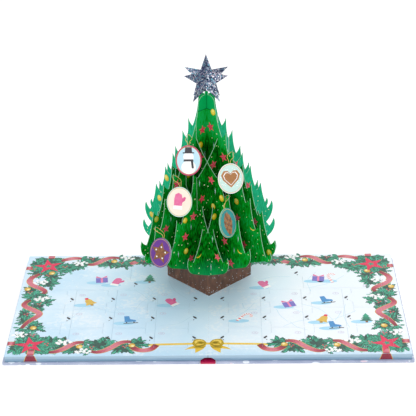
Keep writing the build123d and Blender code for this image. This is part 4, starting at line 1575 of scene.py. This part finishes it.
# Camera, light and floor
PLACE = Vector((0.0283, -1.6469, 0.9888))
DOWN, YAW, ROLL = math.radians(26.864), math.radians(-0.953), math.radians(-0.911)
ahead = Vector((math.sin(YAW) * math.cos(DOWN), math.cos(YAW) * math.cos(DOWN), -math.sin(DOWN)))
level = Vector((math.cos(YAW), -math.sin(YAW), 0))
upward = level.cross(ahead)
right = math.cos(ROLL) * level + math.sin(ROLL) * upward
top = -math.sin(ROLL) * level + math.cos(ROLL) * upward
lens = bpy.data.cameras.new("camera")
lens.lens = 121.89
lens.sensor_width = 36
lens.clip_end = 50
camera = placed("camera", lens)
turn = Matrix((right, top, -ahead)).transposed().to_4x4()
camera.matrix_world = Matrix.Translation(PLACE) @ turn
bpy.context.scene.camera = camera


def lamp(name, place, target, size, power):
    """A large soft lamp turned to a point."""
    light = bpy.data.lights.new(name, "AREA")
    light.shape = "DISK"
    light.size = size
    light.energy = power
    made = placed(name, light)
    made.location = place
    made.rotation_euler = (Vector(target) - Vector(place)).to_track_quat("-Z", "Y").to_euler()


lamp("key", (0.65, 0.75, 1.75), (0.1, 0, 0.05), 1.6, 12)
lamp("fill", (-0.3, -1.5, 1.3), (0, 0.05, 0.12), 1.4, 12)

world = bpy.data.worlds.new("studio")
bpy.context.scene.world = world
world.use_nodes = True
sky = world.node_tree.nodes["Background"]
sky.inputs["Color"].default_value = (1, 1, 1, 1)
rays = add(world.node_tree, "ShaderNodeLightPath").outputs
seen = rays["Is Camera Ray"]
for kind in ("Is Glossy Ray", "Is Transmission Ray"):
    seen = add(world.node_tree, "ShaderNodeMath", {0: seen, 1: rays[kind]}, operation="MAXIMUM")
strength = add(world.node_tree, "ShaderNodeMapRange", {"Value": seen, "To Min": 0.7, "To Max": 1.0})
world.node_tree.links.new(strength.outputs["Result"], sky.inputs["Strength"])


def floor():
    """A pale sheet of studio paper under the book."""
    paper, tree, shader = surface("white_studio_paper", 0.9)
    shader.inputs["Base Color"].default_value = (0.96, 0.96, 0.96, 1)
    path = add(tree, "ShaderNodeLightPath")
    glow = add(tree, "ShaderNodeMath", {0: path.outputs["Is Camera Ray"], 1: 0.19}, operation="MULTIPLY")
    shader.inputs["Emission Color"].default_value = (1, 1, 1, 1)
    tree.links.new(glow.outputs["Value"], shader.inputs["Emission Strength"])
    made = bmesh.new()
    bmesh.ops.create_grid(made, x_segments=1, y_segments=1, size=6)
    sheet = placed("studio_floor", to_mesh("studio_floor", made))
    sheet.data.materials.append(paper)


floor()
bpy.context.scene.view_settings.view_transform = "Standard"
